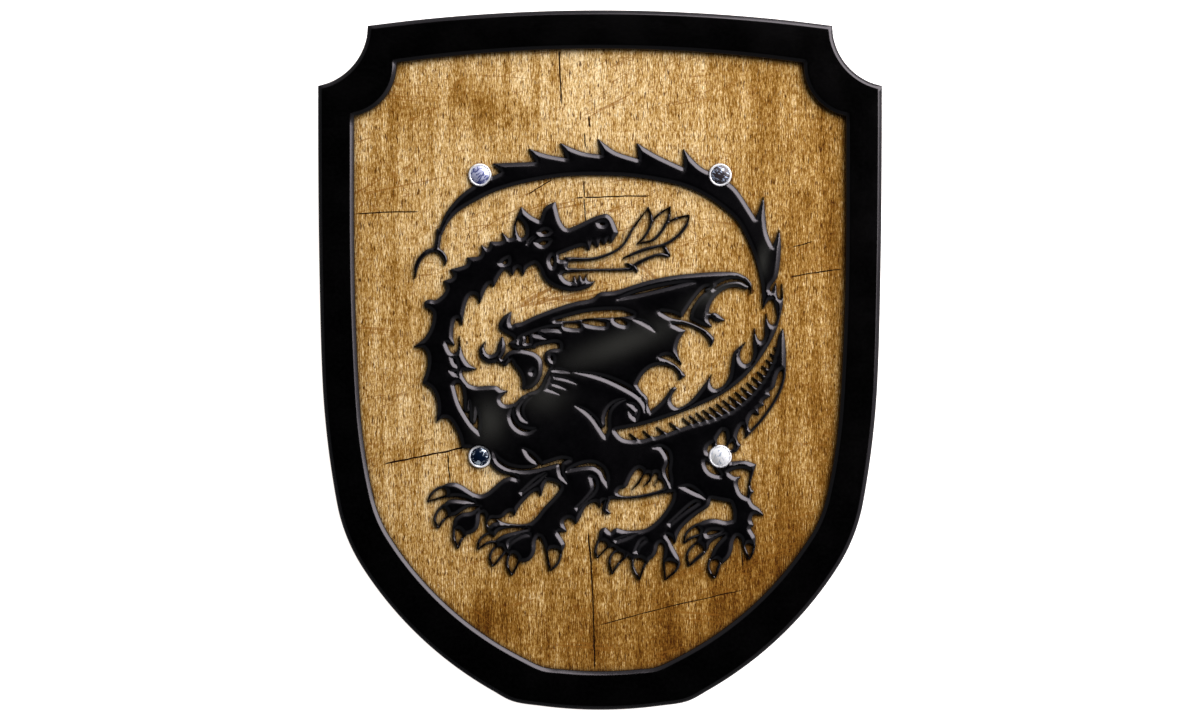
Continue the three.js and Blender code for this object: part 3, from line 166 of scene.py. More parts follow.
def search_tree(points):
    """A tree that finds the nearest of these points of a plane."""
    tree = KDTree(len(points))
    for index, (x, y) in enumerate(points):
        tree.insert((x, y, 0), index)
    tree.balance()
    return tree


def distances(tree, points):
    """How far each point lies from the nearest one in the tree."""
    return np.array([tree.find((x, y, 0))[2] for x, y in points])


def inside(points, loops):
    """Which points lie inside the loops, where a loop within another is a hole."""
    order = np.argsort(points[:, 1], kind="stable")
    x, y = points[order].T
    odd = np.zeros(len(points), bool)
    for loop in loops:
        for (ax, ay), (bx, by) in zip(loop, np.roll(loop, -1, 0)):
            if ay == by:
                continue
            first, last = np.searchsorted(y, sorted((ay, by)))
            span = slice(first, last)
            odd[span] ^= x[span] < ax + (y[span] - ay) * (bx - ax) / (by - ay)
    result = np.zeros(len(points), bool)
    result[order] = odd
    return result


def ring_edges(start, count):
    """The edges of a closed ring of vertices numbered from start."""
    return [(start + i, start + (i + 1) % count) for i in range(count)]


def triangulate(points, edges, loops):
    """Delaunay triangles of the points that keep the edges and lie inside the loops.

    Returns the points, the triangles and, for each point, the index that it had, or -1.
    """
    flat = [Vector(p) for p in points]
    made, _, faces, origins, _, _ = delaunay_2d_cdt(flat, edges, [], 0, 1e-8)
    made = np.array([(v.x, v.y) for v in made])
    faces = np.array(faces)
    faces = faces[inside(made[faces].mean(1), loops)]
    return made, faces, [o[0] if o else -1 for o in origins]


# ---- meshes ----------------------------------------------------------------------------------------------


def add_piece(name, vertices, faces, *, replaces, materials, smooth_angle, face_material=None):
    """A mesh piece that rides on the shield and stands for the CAD nodes in replaces.

    Edges sharper than smooth_angle degrees stay sharp, and face_material numbers the material of each face.
    """
    mesh = bpy.data.meshes.new(name)
    mesh.from_pydata([tuple(map(float, v)) for v in vertices], [], [tuple(map(int, f)) for f in faces])
    for material in materials:
        mesh.materials.append(material)
    if face_material is not None:
        mesh.polygons.foreach_set("material_index", np.asarray(face_material, np.int32))
    mesh.polygons.foreach_set("use_smooth", np.ones(len(mesh.polygons), bool))
    mesh.set_sharp_from_angle(angle=math.radians(smooth_angle))
    mesh.update()
    piece = bpy.data.objects.new(name, mesh)
    bpy.context.scene.collection.objects.link(piece)
    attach(piece, "root")
    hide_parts(*replaces)
    return piece


def add_attribute(piece, name, values):
    """A number for each vertex, which a material reads by its name."""
    attribute = piece.data.attributes.new(name, "FLOAT", "POINT")
    attribute.data.foreach_set("value", np.array(values, np.float32))


def bridge(ring_a, ring_b):
    """Quads between two rings of vertex indices of equal length."""
    return [(a, b, d, c) for a, b, c, d in zip(ring_a, np.roll(ring_a, -1), ring_b, np.roll(ring_b, -1))]


def loft(rings):
    """Vertices and quads of a band through rings, which are (n, 3) arrays, in order."""
    count = len(rings[0])
    faces = []
    for i in range(len(rings) - 1):
        faces += bridge(np.arange(count) + i * count, np.arange(count) + (i + 1) * count)
    return np.concatenate(rings), faces


def at_height(loop, z):
    """The flat loop lifted to a height, as an (n, 3) array."""
    return np.column_stack([loop, np.full(len(loop), z)])


# ---- shader tools ----------------------------------------------------------------------------------------


class Shader:
    """A Principled material with short calls for the nodes that it needs."""

    def __init__(self, name, **values):
        self.material = bpy.data.materials.new(name)
        self.material.use_nodes = True
        self.tree = self.material.node_tree
        self.surface = self.tree.nodes["Principled BSDF"]
        for socket, value in values.items():
            self.surface.inputs[socket.replace("_", " ")].default_value = value

    def add(self, kind, inputs, **settings):
        """The outputs of a new node whose inputs are linked to sockets or set to constants."""
        node = self.tree.nodes.new("ShaderNode" + kind)
        for key, value in settings.items():
            setattr(node, key, value)
        for socket, value in inputs.items():
            if isinstance(value, bpy.types.NodeSocket):
                self.tree.links.new(value, node.inputs[socket])
            else:
                node.inputs[socket].default_value = value
        return node.outputs

    def set(self, socket, value):
        self.tree.links.new(value, self.surface.inputs[socket])

    def millimetres(self, scale=(1, 1, 1), turn=0):
        """Object coordinates in millimetres, turned about Z and then scaled along each axis."""
        place = self.add("TexCoord", {})["Object"]
        turned = self.add("Mapping", {"Vector": place, "Rotation": (0, 0, math.radians(turn))})[0]
        return self.add("Mapping", {"Vector": turned, "Scale": tuple(s / MM for s in scale)})[0]

    def noise(self, scale, detail=2.0, rough=0.5, turn=0, distortion=0.0):
        """Noise with about scale waves to a millimetre along each axis."""
        inputs = {"Vector": self.millimetres(scale, turn), "Scale": 1.0, "Detail": detail}
        inputs.update({"Roughness": rough, "Distortion": distortion})
        return self.add("TexNoise", inputs)["Fac"]

    def math(self, operation, a, b=0.0, c=0.0):
        return self.add("Math", {0: a, 1: b, 2: c}, operation=operation)[0]

    def band(self, value, low, high, to_low=0.0, to_high=1.0):
        """The value taken smoothly from the range low to high into the range to_low to to_high."""
        inputs = {"Value": value, "From Min": low, "From Max": high, "To Min": to_low, "To Max": to_high}
        return self.add("MapRange", inputs, interpolation_type="SMOOTHSTEP")[0]

    def ramp(self, value, *stops):
        """A colour ramp through (place, sRGB colour) stops."""
        outputs = self.add("ValToRGB", {"Fac": value})
        elements = outputs["Color"].node.color_ramp.elements
        for place, _ in stops[2:]:
            elements.new(place)
        for element, (place, colour) in zip(elements, stops):
            element.position = place
            element.color = linear(colour)
        return outputs["Color"]

    def mix(self, share, a, b):
        a, b = (linear(c) if isinstance(c, tuple) else c for c in (a, b))
        return self.add("Mix", {0: share, 6: a, 7: b}, data_type="RGBA")[2]

    def bump(self, height, distance, strength=1.0):
        made = self.add("Bump", {"Height": height, "Distance": distance, "Strength": strength})[0]
        self.set("Normal", made)


def linear(colour):
    """A linear RGBA colour from 8-bit sRGB."""
    return tuple(((c / 255 + 0.055) / 1.055) ** 2.4 if c > 10 else c / 255 / 12.92 for c in colour) + (1.0,)


# ---- materials -------------------------------------------------------------------------------------------

# hairline scratches as (turn in degrees, waves to a millimetre along and across, how rare they are)
SCRATCHES = [
    (-12, 0.006, 0.2, 0.46),
    (-29, 0.007, 0.16, 0.5),
    (4, 0.008, 0.24, 0.46),
    (38, 0.008, 0.14, 0.56),
    (-20, 0.005, 0.3, 0.48),
]
# how far the painted shade by the rim and the relief reaches
PAINTED_SHADE_REACH = 9 * MM  # from the foot of the rim and of the relief


def make_wood():
    """Aged pale wood: upright grain and pores, brown speckle and stains, scratches and dark cracks, and
    painted shade along the foot of the rim and of the relief.
    """
    wood = Shader("worn_wood", Roughness=0.7, Specular_IOR_Level=0.06)
    tone = wood.add("Attribute", {}, attribute_name="tone")["Fac"]
    speckle = wood.noise((1.5, 0.5, 0.5), detail=3, rough=0.75)
    fibre = wood.noise((2.0, 0.16, 0.5), detail=2, rough=0.6)
    streaks = wood.noise((0.2, 0.01, 0.1), detail=4, rough=0.65)
    patches = wood.noise((0.035, 0.028, 0.05), detail=3, rough=0.65)
    value = tone
    for texture, weight in ((speckle, 1.4), (fibre, 1.4), (streaks, 0.9), (patches, 0.5)):
        value = wood.math("MULTIPLY_ADD", wood.math("SUBTRACT", texture, 0.5), weight, value)
    colour = wood.ramp(
        value,
        (0.0, (66, 32, 0)),
        (0.3, (124, 82, 21)),
        (0.5, (162, 121, 55)),
        (0.7, (201, 164, 102)),
        (0.85, (229, 197, 141)),
        (1.0, (248, 225, 177)),
    )

    # pores: short upright dashes, fine ones everywhere and a few long ones
    pores = wood.band(wood.noise((2.1, 0.34, 0.6), detail=1), 0.57, 0.65)
    colour = wood.mix(wood.math("MULTIPLY", pores, 0.75), colour, (110, 62, 10))
    dashes = wood.band(wood.noise((1.25, 0.17, 0.6), detail=1), 0.635, 0.675)
    colour = wood.mix(wood.math("MULTIPLY", dashes, 0.9), colour, (68, 32, 2))

    # the scratches lie nearly across the board, each kind only in places
    for turn, along, across, limit in SCRATCHES:
        line = wood.noise((along, across, 0.1), 1, 0.4, turn)
        thin = wood.band(wood.math("ABSOLUTE", wood.math("SUBTRACT", line, 0.5)), 0.006, 0.002)
        where = wood.band(wood.noise((0.017, 0.02, 0.02), 2, 0.6, turn), limit, limit + 0.07)
        share = wood.math("MULTIPLY", wood.math("MULTIPLY", thin, where), 0.65)
        colour = wood.mix(share, colour, (134, 86, 26))
    crack = wood.add("Attribute", {}, attribute_name="crack")["Fac"]
    colour = wood.mix(wood.band(crack, 0.0, 0.4), colour, (34, 8, 2))

    # painted shade: ambient occlusion darkens the wood's colour along the foot of the rim and of the
    # relief, where shade falls
    open_air = wood.add("AmbientOcclusion", {"Distance": PAINTED_SHADE_REACH}, samples=6)["AO"]
    colour = wood.mix(wood.band(open_air, 0.35, 0.95, 0.9, 0.0), colour, (34, 22, 10))
    wood.set("Base Color", colour)
    raised = wood.math("ADD", speckle, fibre)
    sunken = wood.math("ADD", pores, dashes)
    wood.bump(wood.math("SUBTRACT", raised, sunken), 0.2 * MM, 0.35)
    return wood.material


def make_paint(name, grey, roughness, specular):
    """Black paint with a faint unevenness, and a painted sheen: greyer where the mesh's sheen attribute
    says so.
    """
    paint = Shader(name, Specular_IOR_Level=specular, Specular_Tint=(1, 0.92, 0.97, 1))
    uneven = paint.noise((0.05, 0.05, 0.05), detail=3)
    paint.set("Roughness", paint.band(uneven, 0.3, 0.7, roughness - 0.02, roughness + 0.04))
    brush = paint.noise((0.5, 0.5, 0.5), detail=3)
    colour = paint.mix(paint.band(brush, 0.35, 0.7), grey, tuple(c + 2 for c in grey))
    # painted sheen: grey painted into the black where the paint would reflect light
    painted_sheen_share = paint.add("Attribute", {}, attribute_name="sheen")["Fac"]
    paint.set("Base Color", paint.mix(painted_sheen_share, colour, (44, 44, 41)))
    paint.bump(brush, 0.03 * MM, 0.4)
    return paint.material


def make_steel(name, dark, light, turn, balance, roughness=0.16, metallic=0.3):
    """Polished steel whose base colour is broken into bands between a dark and a light tone: on the bolt
    heads these are painted reflections and a painted highlight.

    The bands lie turned by some degrees, and more of the steel is dark the higher the balance is.
    """
    steel = Shader(name, Metallic=metallic)
    # bands of tone, which are painted reflections where this is a bolt head
    bands = steel.noise((0.55, 0.22, 0.4), 2, 0.6, turn, 1.2)
    steel.set("Base Color", steel.mix(steel.band(bands, balance - 0.05, balance + 0.05), dark, light))
    uneven = steel.noise((0.8, 0.8, 0.8), detail=2)
    steel.set("Roughness", steel.band(uneven, 0.3, 0.7, roughness - 0.05, roughness + 0.06))
    return steel.material


def make_leather():
    """Brown leather with a fine pebbled grain, paler and glossier where it is worn."""
    leather = Shader("strap_leather", Specular_IOR_Level=0.35)
    pebbles = leather.millimetres((1.4, 1.4, 1.4))
    grain = leather.add("TexVoronoi", {"Vector": pebbles, "Scale": 1.0})["Distance"]
    wear = leather.noise((0.06, 0.05, 0.06), detail=4, rough=0.6)
    colour = leather.ramp(wear, (0.3, (42, 24, 15)), (0.5, (66, 38, 23)), (0.72, (98, 60, 36)))
    colour = leather.mix(leather.band(grain, 0.0, 0.35, 0.35, 0.0), colour, (22, 12, 8))
    leather.set("Base Color", colour)
    leather.set("Roughness", leather.band(wear, 0.3, 0.7, 0.62, 0.42))
    pores = leather.noise((3, 3, 3), detail=2)
    leather.bump(leather.math("SUBTRACT", grain, pores), 0.2 * MM, 0.5)
    return leather.material


def make_thread():
    """Pale waxed thread with a twist of light and dark."""
    thread = Shader("waxed_thread", Roughness=0.6, Specular_IOR_Level=0.3)
    twist = thread.noise((2.5, 2.5, 2.5), detail=2)
    thread.set("Base Color", thread.mix(thread.band(twist, 0.35, 0.65), (150, 118, 78), (206, 178, 132)))
    thread.bump(twist, 0.1 * MM, 0.5)
    return thread.material


WOOD = make_wood()
THREAD = make_thread()
RIM_PAINT = make_paint("rim_paint", (0, 0, 0), 0.2, 0.4)
DRAGON_PAINT = make_paint("dragon_paint", (0, 0, 1), 0.24, 0.5)
EDGE_PAINT = make_paint("edge_paint", (8, 8, 8), 0.5, 0.3)
LEATHER = make_leather()
HARDWARE = make_steel("hardware_steel", (170, 172, 176), (200, 203, 208), 20, 0.5, 0.32, 0.9)
# the bolt heads' tones are painted: the ring's near-white is a painted highlight, and the dark and light
# bands of each dome are painted reflections, different on each bolt
RING_PAINTED_HIGHLIGHT = make_steel("bolt_ring_steel", (190, 192, 198), (250, 250, 252), 0, 0.4)
BOLT_PAINTED_REFLECTIONS = {
    "upper_left": make_steel("bolt_pale_blue", (70, 78, 132), (196, 200, 228), 40, 0.5),
    "upper_right": make_steel("bolt_smoky", (58, 52, 54), (176, 190, 214), 120, 0.56),
    "lower_left": make_steel("bolt_dark_blue", (8, 22, 42), (200, 216, 230), 62, 0.61),
    "lower_right": make_steel("bolt_bright", (176, 188, 206), (255, 255, 255), 10, 0.42),
}


# ---- board -----------------------------------------------------------------------------------------------

BOARD_STEP = 4 * MM  # between the points of its outline and of its front
BOARD_CORNER = math.radians(20)  # its outline and the rim's are sharp where they turn by more
BACK_EDGE = 0.6 * MM  # by which the back edge is softened
CRACK_DEPTH = 0.5 * MM
CRACK_STEPS = 6  # to a stretch between two points of a crack
CRACK_WAVE = 4 * MM
CRACK_SWAY = 0.35 * MM
# old cracks and deep scratches as (half width, points) in millimetres
CRACKS = [
    (0.56, [(-22.4, 169), (-21.8, 156), (-20.9, 138)]),
    (0.52, [(-6, 133), (-5.7, 126)]),
    (0.45, [(-8.6, 124), (-7.8, 115)]),
    (0.45, [(-9, 98), (-8.6, 90), (-8.4, 82), (-7.6, 74)]),
    (0.48, [(-14.6, 88), (6, 88.8), (28, 89.3)]),
    (0.48, [(-133, 79.4), (-116, 80.4), (-98, 80.6)]),
    (0.61, [(-118.5, -56.8), (-98, -52.6), (-84, -49.9), (-72, -47)]),
    (0.4, [(-82.8, -50.6), (-82.2, -59), (-81.5, -67)]),
    (0.57, [(-6.4, -93), (-5, -111), (-3.9, -129), (-3.4, -150), (-2.8, -169)]),
    (0.48, [(77, -103.5), (77.6, -113)]),
    (0.4, [(103, 45), (118, 47.6), (132, 49.6)]),
    (0.36, [(-2, -144.5), (38, -134), (80, -124.5)]),
    (0.32, [(104, 61), (116, 64.5)]),
    (0.32, [(-40, 89.5), (-25, 99)]),
]
# darker places, or paler ones below zero, as (darkness, middle, half widths) in millimetres
STAINS = [
    (0.2, (-62, 136), (16, 12)), (0.28, (-40, 132), (5, 6)), (0.18, (-76, 145), (9, 8)),
    (0.16, (-100, 132), (14, 14)), (0.15, (-117, 104), (9, 26)), (0.13, (-114, 55), (8, 16)),
    (0.1, (-108, 18), (7, 22)), (0.16, (-108, -53), (13, 6)), (0.2, (92, 142), (6, 22)),
    (0.18, (121, 128), (9, 14)), (0.3, (113, 86), (3.5, 4.5)), (0.14, (101, 62), (4, 12)),
    (0.1, (126, 70), (5, 30)), (0.12, (100, -8), (6, 20)), (0.2, (104, -72), (6, 30)),
    (0.12, (122, -50), (6, 30)), (0.14, (84, -112), (10, 8)), (0.1, (66, -134), (7, 10)),
    (0.28, (40, -158), (11, 16)), (0.14, (36, -136), (5, 14)), (0.2, (-62, -142), (7, 9)),
    (0.14, (-3, -152), (4, 20)), (0.1, (-30, -152), (7, 10)), (0.1, (52, -117), (14, 6)),
    (-0.06, (5, 148), (24, 14)), (-0.08, (-25, -130), (18, 9)), (-0.05, (-62, 62), (20, 26)),
    (-0.05, (-60, -8), (10, 20)),
]


def smoothstep(value, low, high):
    """From 0 where the value is low smoothly to 1 where it is high."""
    share = np.clip((value - low) / (high - low), 0, 1)
    return share * share * (3 - 2 * share)


def wood_tone(points):
    """How pale the wood is, from 0 to 1: browner towards the right, the foot and the edges, and stained."""
    x, y = points.T / MM
    tone = 0.7 - 0.21 * smoothstep(x, 45, 95) - 0.03 * smoothstep(-x, 70, 115)
    tone -= 0.3 * smoothstep(-y, 55, 150)
    tone -= 0.06 * smoothstep(np.abs(x), 112, 135)
    for darkness, middle, half in STAINS:
        tone -= darkness * np.exp(-(((x - middle[0]) / half[0]) ** 2) - ((y - middle[1]) / half[1]) ** 2)
    return np.clip(tone, 0.2, 0.95)


def crack_strip(half_width, line):
    """Points of a wavering, pointed strip about the line: its middle line, its left and its right side."""
    line = np.array(line) * MM
    stretches = [np.linspace(a, b, CRACK_STEPS + 1)[:-1] for a, b in zip(line, line[1:])]
    dense = np.concatenate([*stretches, line[-1:]])
    along = np.gradient(dense, axis=0)
    across = np.column_stack([-along[:, 1], along[:, 0]]) / np.linalg.norm(along, axis=1)[:, None]
    wander = np.array([noise.noise(Vector((*p, 0)) / CRACK_WAVE) for p in dense])
    dense = dense + across * (wander * CRACK_SWAY)[:, None]
    width = half_width * MM * (0.75 + 0.5 * np.abs(np.roll(wander, 3)))[1:-1, None]
    return dense, dense[1:-1] + across[1:-1] * width, dense[1:-1] - across[1:-1] * width


def make_board():
    """The board: a front with cracks cut into it, walls, and a plain back with a softened edge."""
    outer, *holes = face_loops("board", FRONT)
    outer = smooth_loop(outer, BOARD_CORNER, BOARD_STEP)
    loops = [outer, *holes]

    points, edges, depth, crack = [], [], [], []

    def add(run, closed, down):
        """Adds a run of joined points at a depth and returns the number of its first one."""
        start = len(points)
        points.extend(run)
        depth.extend([down] * len(run))
        crack.extend([1.0 if down else 0.0] * len(run))
        ring = ring_edges(start, len(run))
        edges.extend(ring if closed else ring[:-1])
        return start

    for loop in loops:
        add(loop, True, 0.0)
    outline_count = len(points)
    for half_width, line in CRACKS:
        middle, left, right = crack_strip(half_width, line)
        start = add(middle, False, CRACK_DEPTH)
        for end in (start, start + len(middle) - 1):
            depth[end] = crack[end] = 0.0
        for side in (left, right):
            first = add(side, False, 0.0)
            edges += [(start, first), (first + len(side) - 1, start + len(middle) - 1)]

    # a grid carries the tone of the wood, away from the outlines and cracks
    columns, rows = (np.arange(-half, half, BOARD_STEP) for half in np.abs(outer).max(0))
    grid = np.array([(x, y) for y in rows for x in columns])
    grid = grid[inside(grid, loops)]
    grid = grid[distances(search_tree(points), grid) > BOARD_STEP / 3]
    points.extend(grid)
    depth += [0.0] * len(grid)
    crack += [0.0] * len(grid)

    front, front_faces, origin = triangulate(points, edges, loops)
    z = np.array([FRONT - (depth[o] if o >= 0 else 0.0) for o in origin])
    place_of = {o: i for i, o in enumerate(origin) if 0 <= o < outline_count}
    vertices = [np.column_stack([front, z])]
    faces = [tuple(f) for f in front_faces]
    total = len(front)
    flags = [crack[o] if o >= 0 else 0.0 for o in origin]
    wood_faces = len(faces)

    # the walls of the outline and of the bolt holes, down to a softened back edge
    start = 0
    back_rings = []
    for loop in loops:
        count = len(loop)
        ring = np.array([place_of[start + i] for i in range(count)])
        start += count
        centre = loop.mean(0)
        inset = centre + (loop - centre) * (1 - BACK_EDGE / np.abs(loop - centre).max())
        back_loop = inset if loop is outer else loop
        for level in (at_height(loop, BACK + BACK_EDGE), at_height(back_loop, BACK)):
            vertices.append(level)
            following = np.arange(total, total + count)
            total += count
            faces += [(b, a, c, d) for a, b, d, c in bridge(ring, following)]
            ring = following
        back_rings.append((back_loop, ring))
    edge_faces = len(faces)

    back_points = np.concatenate([loop for loop, _ in back_rings])
    back_index = np.concatenate([ring for _, ring in back_rings])
    back_edges = []
    first = 0
    for loop, _ in back_rings:
        back_edges += ring_edges(first, len(loop))
        first += len(loop)
    _, back_faces, back_origin = triangulate(back_points, back_edges, [loop for loop, _ in back_rings])
    faces += [tuple(back_index[back_origin[v]] for v in reversed(face)) for face in back_faces]

    which = np.zeros(len(faces), np.int32)
    which[wood_faces:edge_faces] = 1
    vertices = np.concatenate(vertices)
    board = add_piece(
        "board_wood", vertices, faces,
        replaces=("board",), materials=(WOOD, EDGE_PAINT), smooth_angle=20, face_material=which,
    )
    flags += [0.0] * (len(vertices) - len(flags))
    add_attribute(board, "crack", flags)
    add_attribute(board, "tone", wood_tone(vertices[:, :2]))


# ---- rim -------------------------------------------------------------------------------------------------

RIM_STEP = 2.2 * MM
# its bevel as (share of the way over it, share of the height)
RIM_BEVEL = [
    (0, 0), (0, 0.55), (0.05, 0.62), (0.12, 0.67), (0.8, 0.93), (0.92, 0.97), (1.05, 0.99), (1.25, 1),
]


def make_rim():
    """The black frame, lofted from its wall over two soft bevels to the other wall."""
    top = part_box("rim")[1].z
    rise = top - FRONT

    def from_crown(loop):
        """The loop anticlockwise from the middle of its top edge."""
        if doubled_area(loop) < 0:
            loop = loop[::-1]
        start = np.argmax(loop[:, 1] - np.abs(loop[:, 0]) * 0.01)
        return np.roll(loop, -start, 0)

    def bevelled(base, top_loop):
        return [at_height(base + (top_loop - base) * s, FRONT + rise * h) for s, h in RIM_BEVEL]

    outer_base, inner_base = (from_crown(loop) for loop in face_loops("rim", FRONT, -1))
    outer_top, inner_top = (from_crown(loop) for loop in face_loops("rim", top))
    corners = corner_flags(outer_base, BOARD_CORNER)
    counts = side_counts(outer_base, RIM_STEP)
    outer_base, outer_top, inner_top, inner_base = (
        smoothed(loop, corners, counts) for loop in (outer_base, outer_top, inner_top, inner_base)
    )
    rings = bevelled(outer_base, outer_top) + bevelled(inner_base, inner_top)[::-1]
    vertices, faces = loft([*rings, rings[0]])
    count = len(rings[0])
    total = len(rings) * count
    faces = [tuple(v % total for v in face) for face in faces]
    add_piece(
        "rim_black", vertices[:total], faces,
        replaces=("rim",), materials=(RIM_PAINT,), smooth_angle=50,
    )


# ---- dragon ----------------------------------------------------------------------------------------------

RELIEF_CORNER = math.radians(50)  # an outline is sharp where it turns by more
RELIEF_STEP = 0.55 * MM
SHORE_STEP = 0.14 * MM  # between the points from which distances are measured
# (distance in from the edge, height over the board) of the bevel, in millimetres
BEVEL = [(0, 1.5), (0.1, 1.62), (0.6, 1.97), (1.2, 2.37), (1.8, 2.71), (2.2, 2.88), (2.6, 2.97), (3.1, 3.0)]
SLIT_BEVEL = 1.6 * MM  # a slit's bevel lies within the slit, so that only its middle shows the board
# where rings of points run along a slit, in millimetres into the relief or, below zero, into the slit
SLIT_RINGS = [0.9, 0.4, -0.3, -0.6, -0.9, -1.15, -1.3, -1.5, -1.6, -1.85]
RING_SHARE = 0.93  # of its distance that each point of a ring keeps from every outline
SLIT_DROP = 0.25 * MM  # over which the foot of that bevel sinks into the board
SUNK = -0.6 * MM  # below the board's front; faces that lie wholly this low are left out
THIN = 1.7 * MM  # the lines of the claws and the flame are thinner than this
SLIT_SHARE = 0.75  # of a slit's outline runs along relief that is not so thin
OPEN_BOARD = [(-43, -80), (24, -66)]  # middles of the wide openings between the legs, in millimetres
OPEN_REACH = 4 * MM  # from such a middle
BOLT_MARGIN = 0.5 * MM  # about a bolt head, which holds the edge of its clearance
# painted sheens, grey patches painted on the black paint where it would reflect light, as (strength,
# middle, half widths, turn in degrees), in millimetres
PAINTED_SHEENS = [
    (0.9, (-60, -33), (8, 10), 0), (0.6, (-30, -20), (11, 8), 0), (0.9, (12, 9), (28, 6.5), 20),
    (0.8, (64, 37), (15, 4), 22), (0.8, (88, 53), (3, 11), -12), (0.5, (34, -36), (16, 2), 8),
]


def beside_bolt(points):
    """Which points lie on the edge of the round clearance of a bolt head, where the relief has no bevel."""
    result = np.zeros(len(points), bool)
    for where in BOLTS:
        low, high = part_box(f"bolt_{where}")
        reach = (high.x - low.x) / 2 + BOLT_MARGIN
        middle = ((low.x + high.x) / 2, (low.y + high.y) / 2)
        result |= np.hypot(*(points - middle).T) < reach
    return result


def shore_tree(loops):
    """A search tree of closely spaced points of the loops, without the clearances of the bolts."""
    shores = np.concatenate([smooth_loop(loop, RELIEF_CORNER, SHORE_STEP) for loop in loops])
    return search_tree(shores[~beside_bolt(shores)])


def offset(loop, inset):
    """The loop moved sideways into the relief, which lies to its left."""
    along = np.roll(loop, -1, 0) - np.roll(loop, 1, 0)
    inward = np.column_stack([-along[:, 1], along[:, 0]])
    return loop + inward * (inset / np.maximum(np.linalg.norm(inward, axis=1), 1e-9))[:, None]


def is_slit(loop, loops):
    """Whether an opening is a slit in the relief and not one between thin lines or the legs."""
    if doubled_area(loop) > 0:
        return False
    middle = loop.mean(0)
    if any(np.hypot(*(middle - np.array(place) * MM)) < OPEN_REACH for place in OPEN_BOARD):
        return False
    return inside(offset(loop, THIN), loops).mean() > SLIT_SHARE


def sheen(points):
    """How grey the painted sheen makes the paint at each point, from 0 to 1."""
    x, y = points.T / MM
    total = np.zeros(len(points))
    for strength, middle, half, turn in PAINTED_SHEENS:
        c, s = math.cos(math.radians(turn)), math.sin(math.radians(turn))
        right, up = x - middle[0], y - middle[1]
        along, across = right * c + up * s, up * c - right * s
        total += strength * np.exp(-((along / half[0]) ** 2) - (across / half[1]) ** 2)
    return np.clip(total, 0, 1)


def make_dragon():
    """The relief: full height inside, with a bevel down to every outline and down into every slit."""
    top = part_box("dragon")[1].z
    loops = [smooth_loop(loop, RELIEF_CORNER, RELIEF_STEP) for loop in face_loops("dragon", top)]
    slits = [loop for loop in loops if is_slit(loop, loops)]
    outlines = [loop for loop in loops if not any(loop is slit for slit in slits)]
    outline_tree = shore_tree(outlines)
    slit_tree = shore_tree(slits)
    bevel_insets, bevel_heights = np.array(BEVEL).T * MM

    points, edges = [], []
    for loop in (*outlines, *slits):
        edges += ring_edges(len(points), len(loop))
        points += list(loop)
    outline_count = sum(len(loop) for loop in outlines)

    slit_insets = np.array(SLIT_RINGS) * MM
    groups = ((outlines, outline_tree, bevel_insets[1:]), (slits, slit_tree, slit_insets))
    for group, tree, insets in groups:
        for inset in insets:
            ring = np.concatenate([offset(loop, inset) for loop in group])
            clear = distances(tree, ring) > abs(inset) * RING_SHARE
            points.extend(ring[clear & inside(ring, outlines)])

    def add_grid(spacing, clearance, region):
        """Fills a region with staggered points that keep clear of the ones there are."""
        low, high = np.min(points, 0), np.max(points, 0)
        columns, rows = (np.arange(low[axis], high[axis], spacing) for axis in (0, 1))
        grid = np.array([(x + spacing / 2 * (row % 2), y) for row, y in enumerate(rows) for x in columns])
        grid = grid[inside(grid, region)]
        points.extend(grid[distances(search_tree(points), grid) > clearance])

    add_grid(spacing=0.5 * MM, clearance=0.32 * MM, region=slits)
    add_grid(spacing=2.2 * MM, clearance=0.9 * MM, region=loops)

    made, top_faces, origin = triangulate(points, edges, outlines)
    place_of = {o: i for i, o in enumerate(origin) if 0 <= o < outline_count}
    side = np.where(inside(made, slits), -1, 1)
    depth = np.minimum(distances(outline_tree, made), SLIT_BEVEL + side * distances(slit_tree, made))
    foot = bevel_heights[0]
    height = np.interp(depth, bevel_insets, bevel_heights)
    height = np.where(depth < 0, np.interp(depth, [-SLIT_DROP, 0], [SUNK, foot]), height)
    edge = np.array(list(place_of.values()))
    height[edge[~beside_bolt(made[edge])]] = foot
    vertices = [np.column_stack([made, FRONT + height])]
    faces = [tuple(face) for face in top_faces if height[face].max() > SUNK]
    total = len(made)
    first = 0
    for loop in outlines:
        count = len(loop)
        ring = np.array([place_of.get(first + i, -1) for i in range(count)])
        first += count
        vertices.append(at_height(loop, FRONT))
        base = np.arange(total, total + count)
        total += count
        faces += [f for f in bridge(base, ring) if min(f) >= 0]
    vertices = np.concatenate(vertices)
    dragon = add_piece(
        "dragon_relief", vertices, faces,
        replaces=("dragon",), materials=(DRAGON_PAINT,), smooth_angle=42,
    )
    # the painted sheen, grey patches that stand for reflections on the black paint
    add_attribute(dragon, "sheen", sheen(vertices[:, :2]))


# ---- bolts, nuts and washers -----------------------------------------------------------------------------

BOLT_SIDES = 72
SHANK_RADIUS = 2.5 * MM
SHANK_CHAMFER = 0.5 * MM
THREAD_PITCH = 0.8 * MM
THREAD_DEPTH = 0.35 * MM
THREAD_GAP = 3 * MM  # between the thread and the board
# the ring about the dome, as shares of the head's radius and height
RING_PROFILE = [
    (0.97, 0), (1, 0.06), (1, 0.2), (0.985, 0.36), (0.95, 0.48), (0.9, 0.54), (0.86, 0.53), (0.83, 0.5),
]
DOME_RADIUS = 0.8  # of the head's radius
DOME_FOOT, DOME_RISE, DOME_TOP = 0.5, 0.47, 0.95  # of the head's height
DOME_STEPS = 9
HAMMER_SIZE = 1.7 * MM
HAMMER_HEIGHT = 0.09 * MM
HAMMER_DROP = 0.05 * MM
SOFT_EDGES = {"nut": 0.45 * MM, "washer": 0.2 * MM}


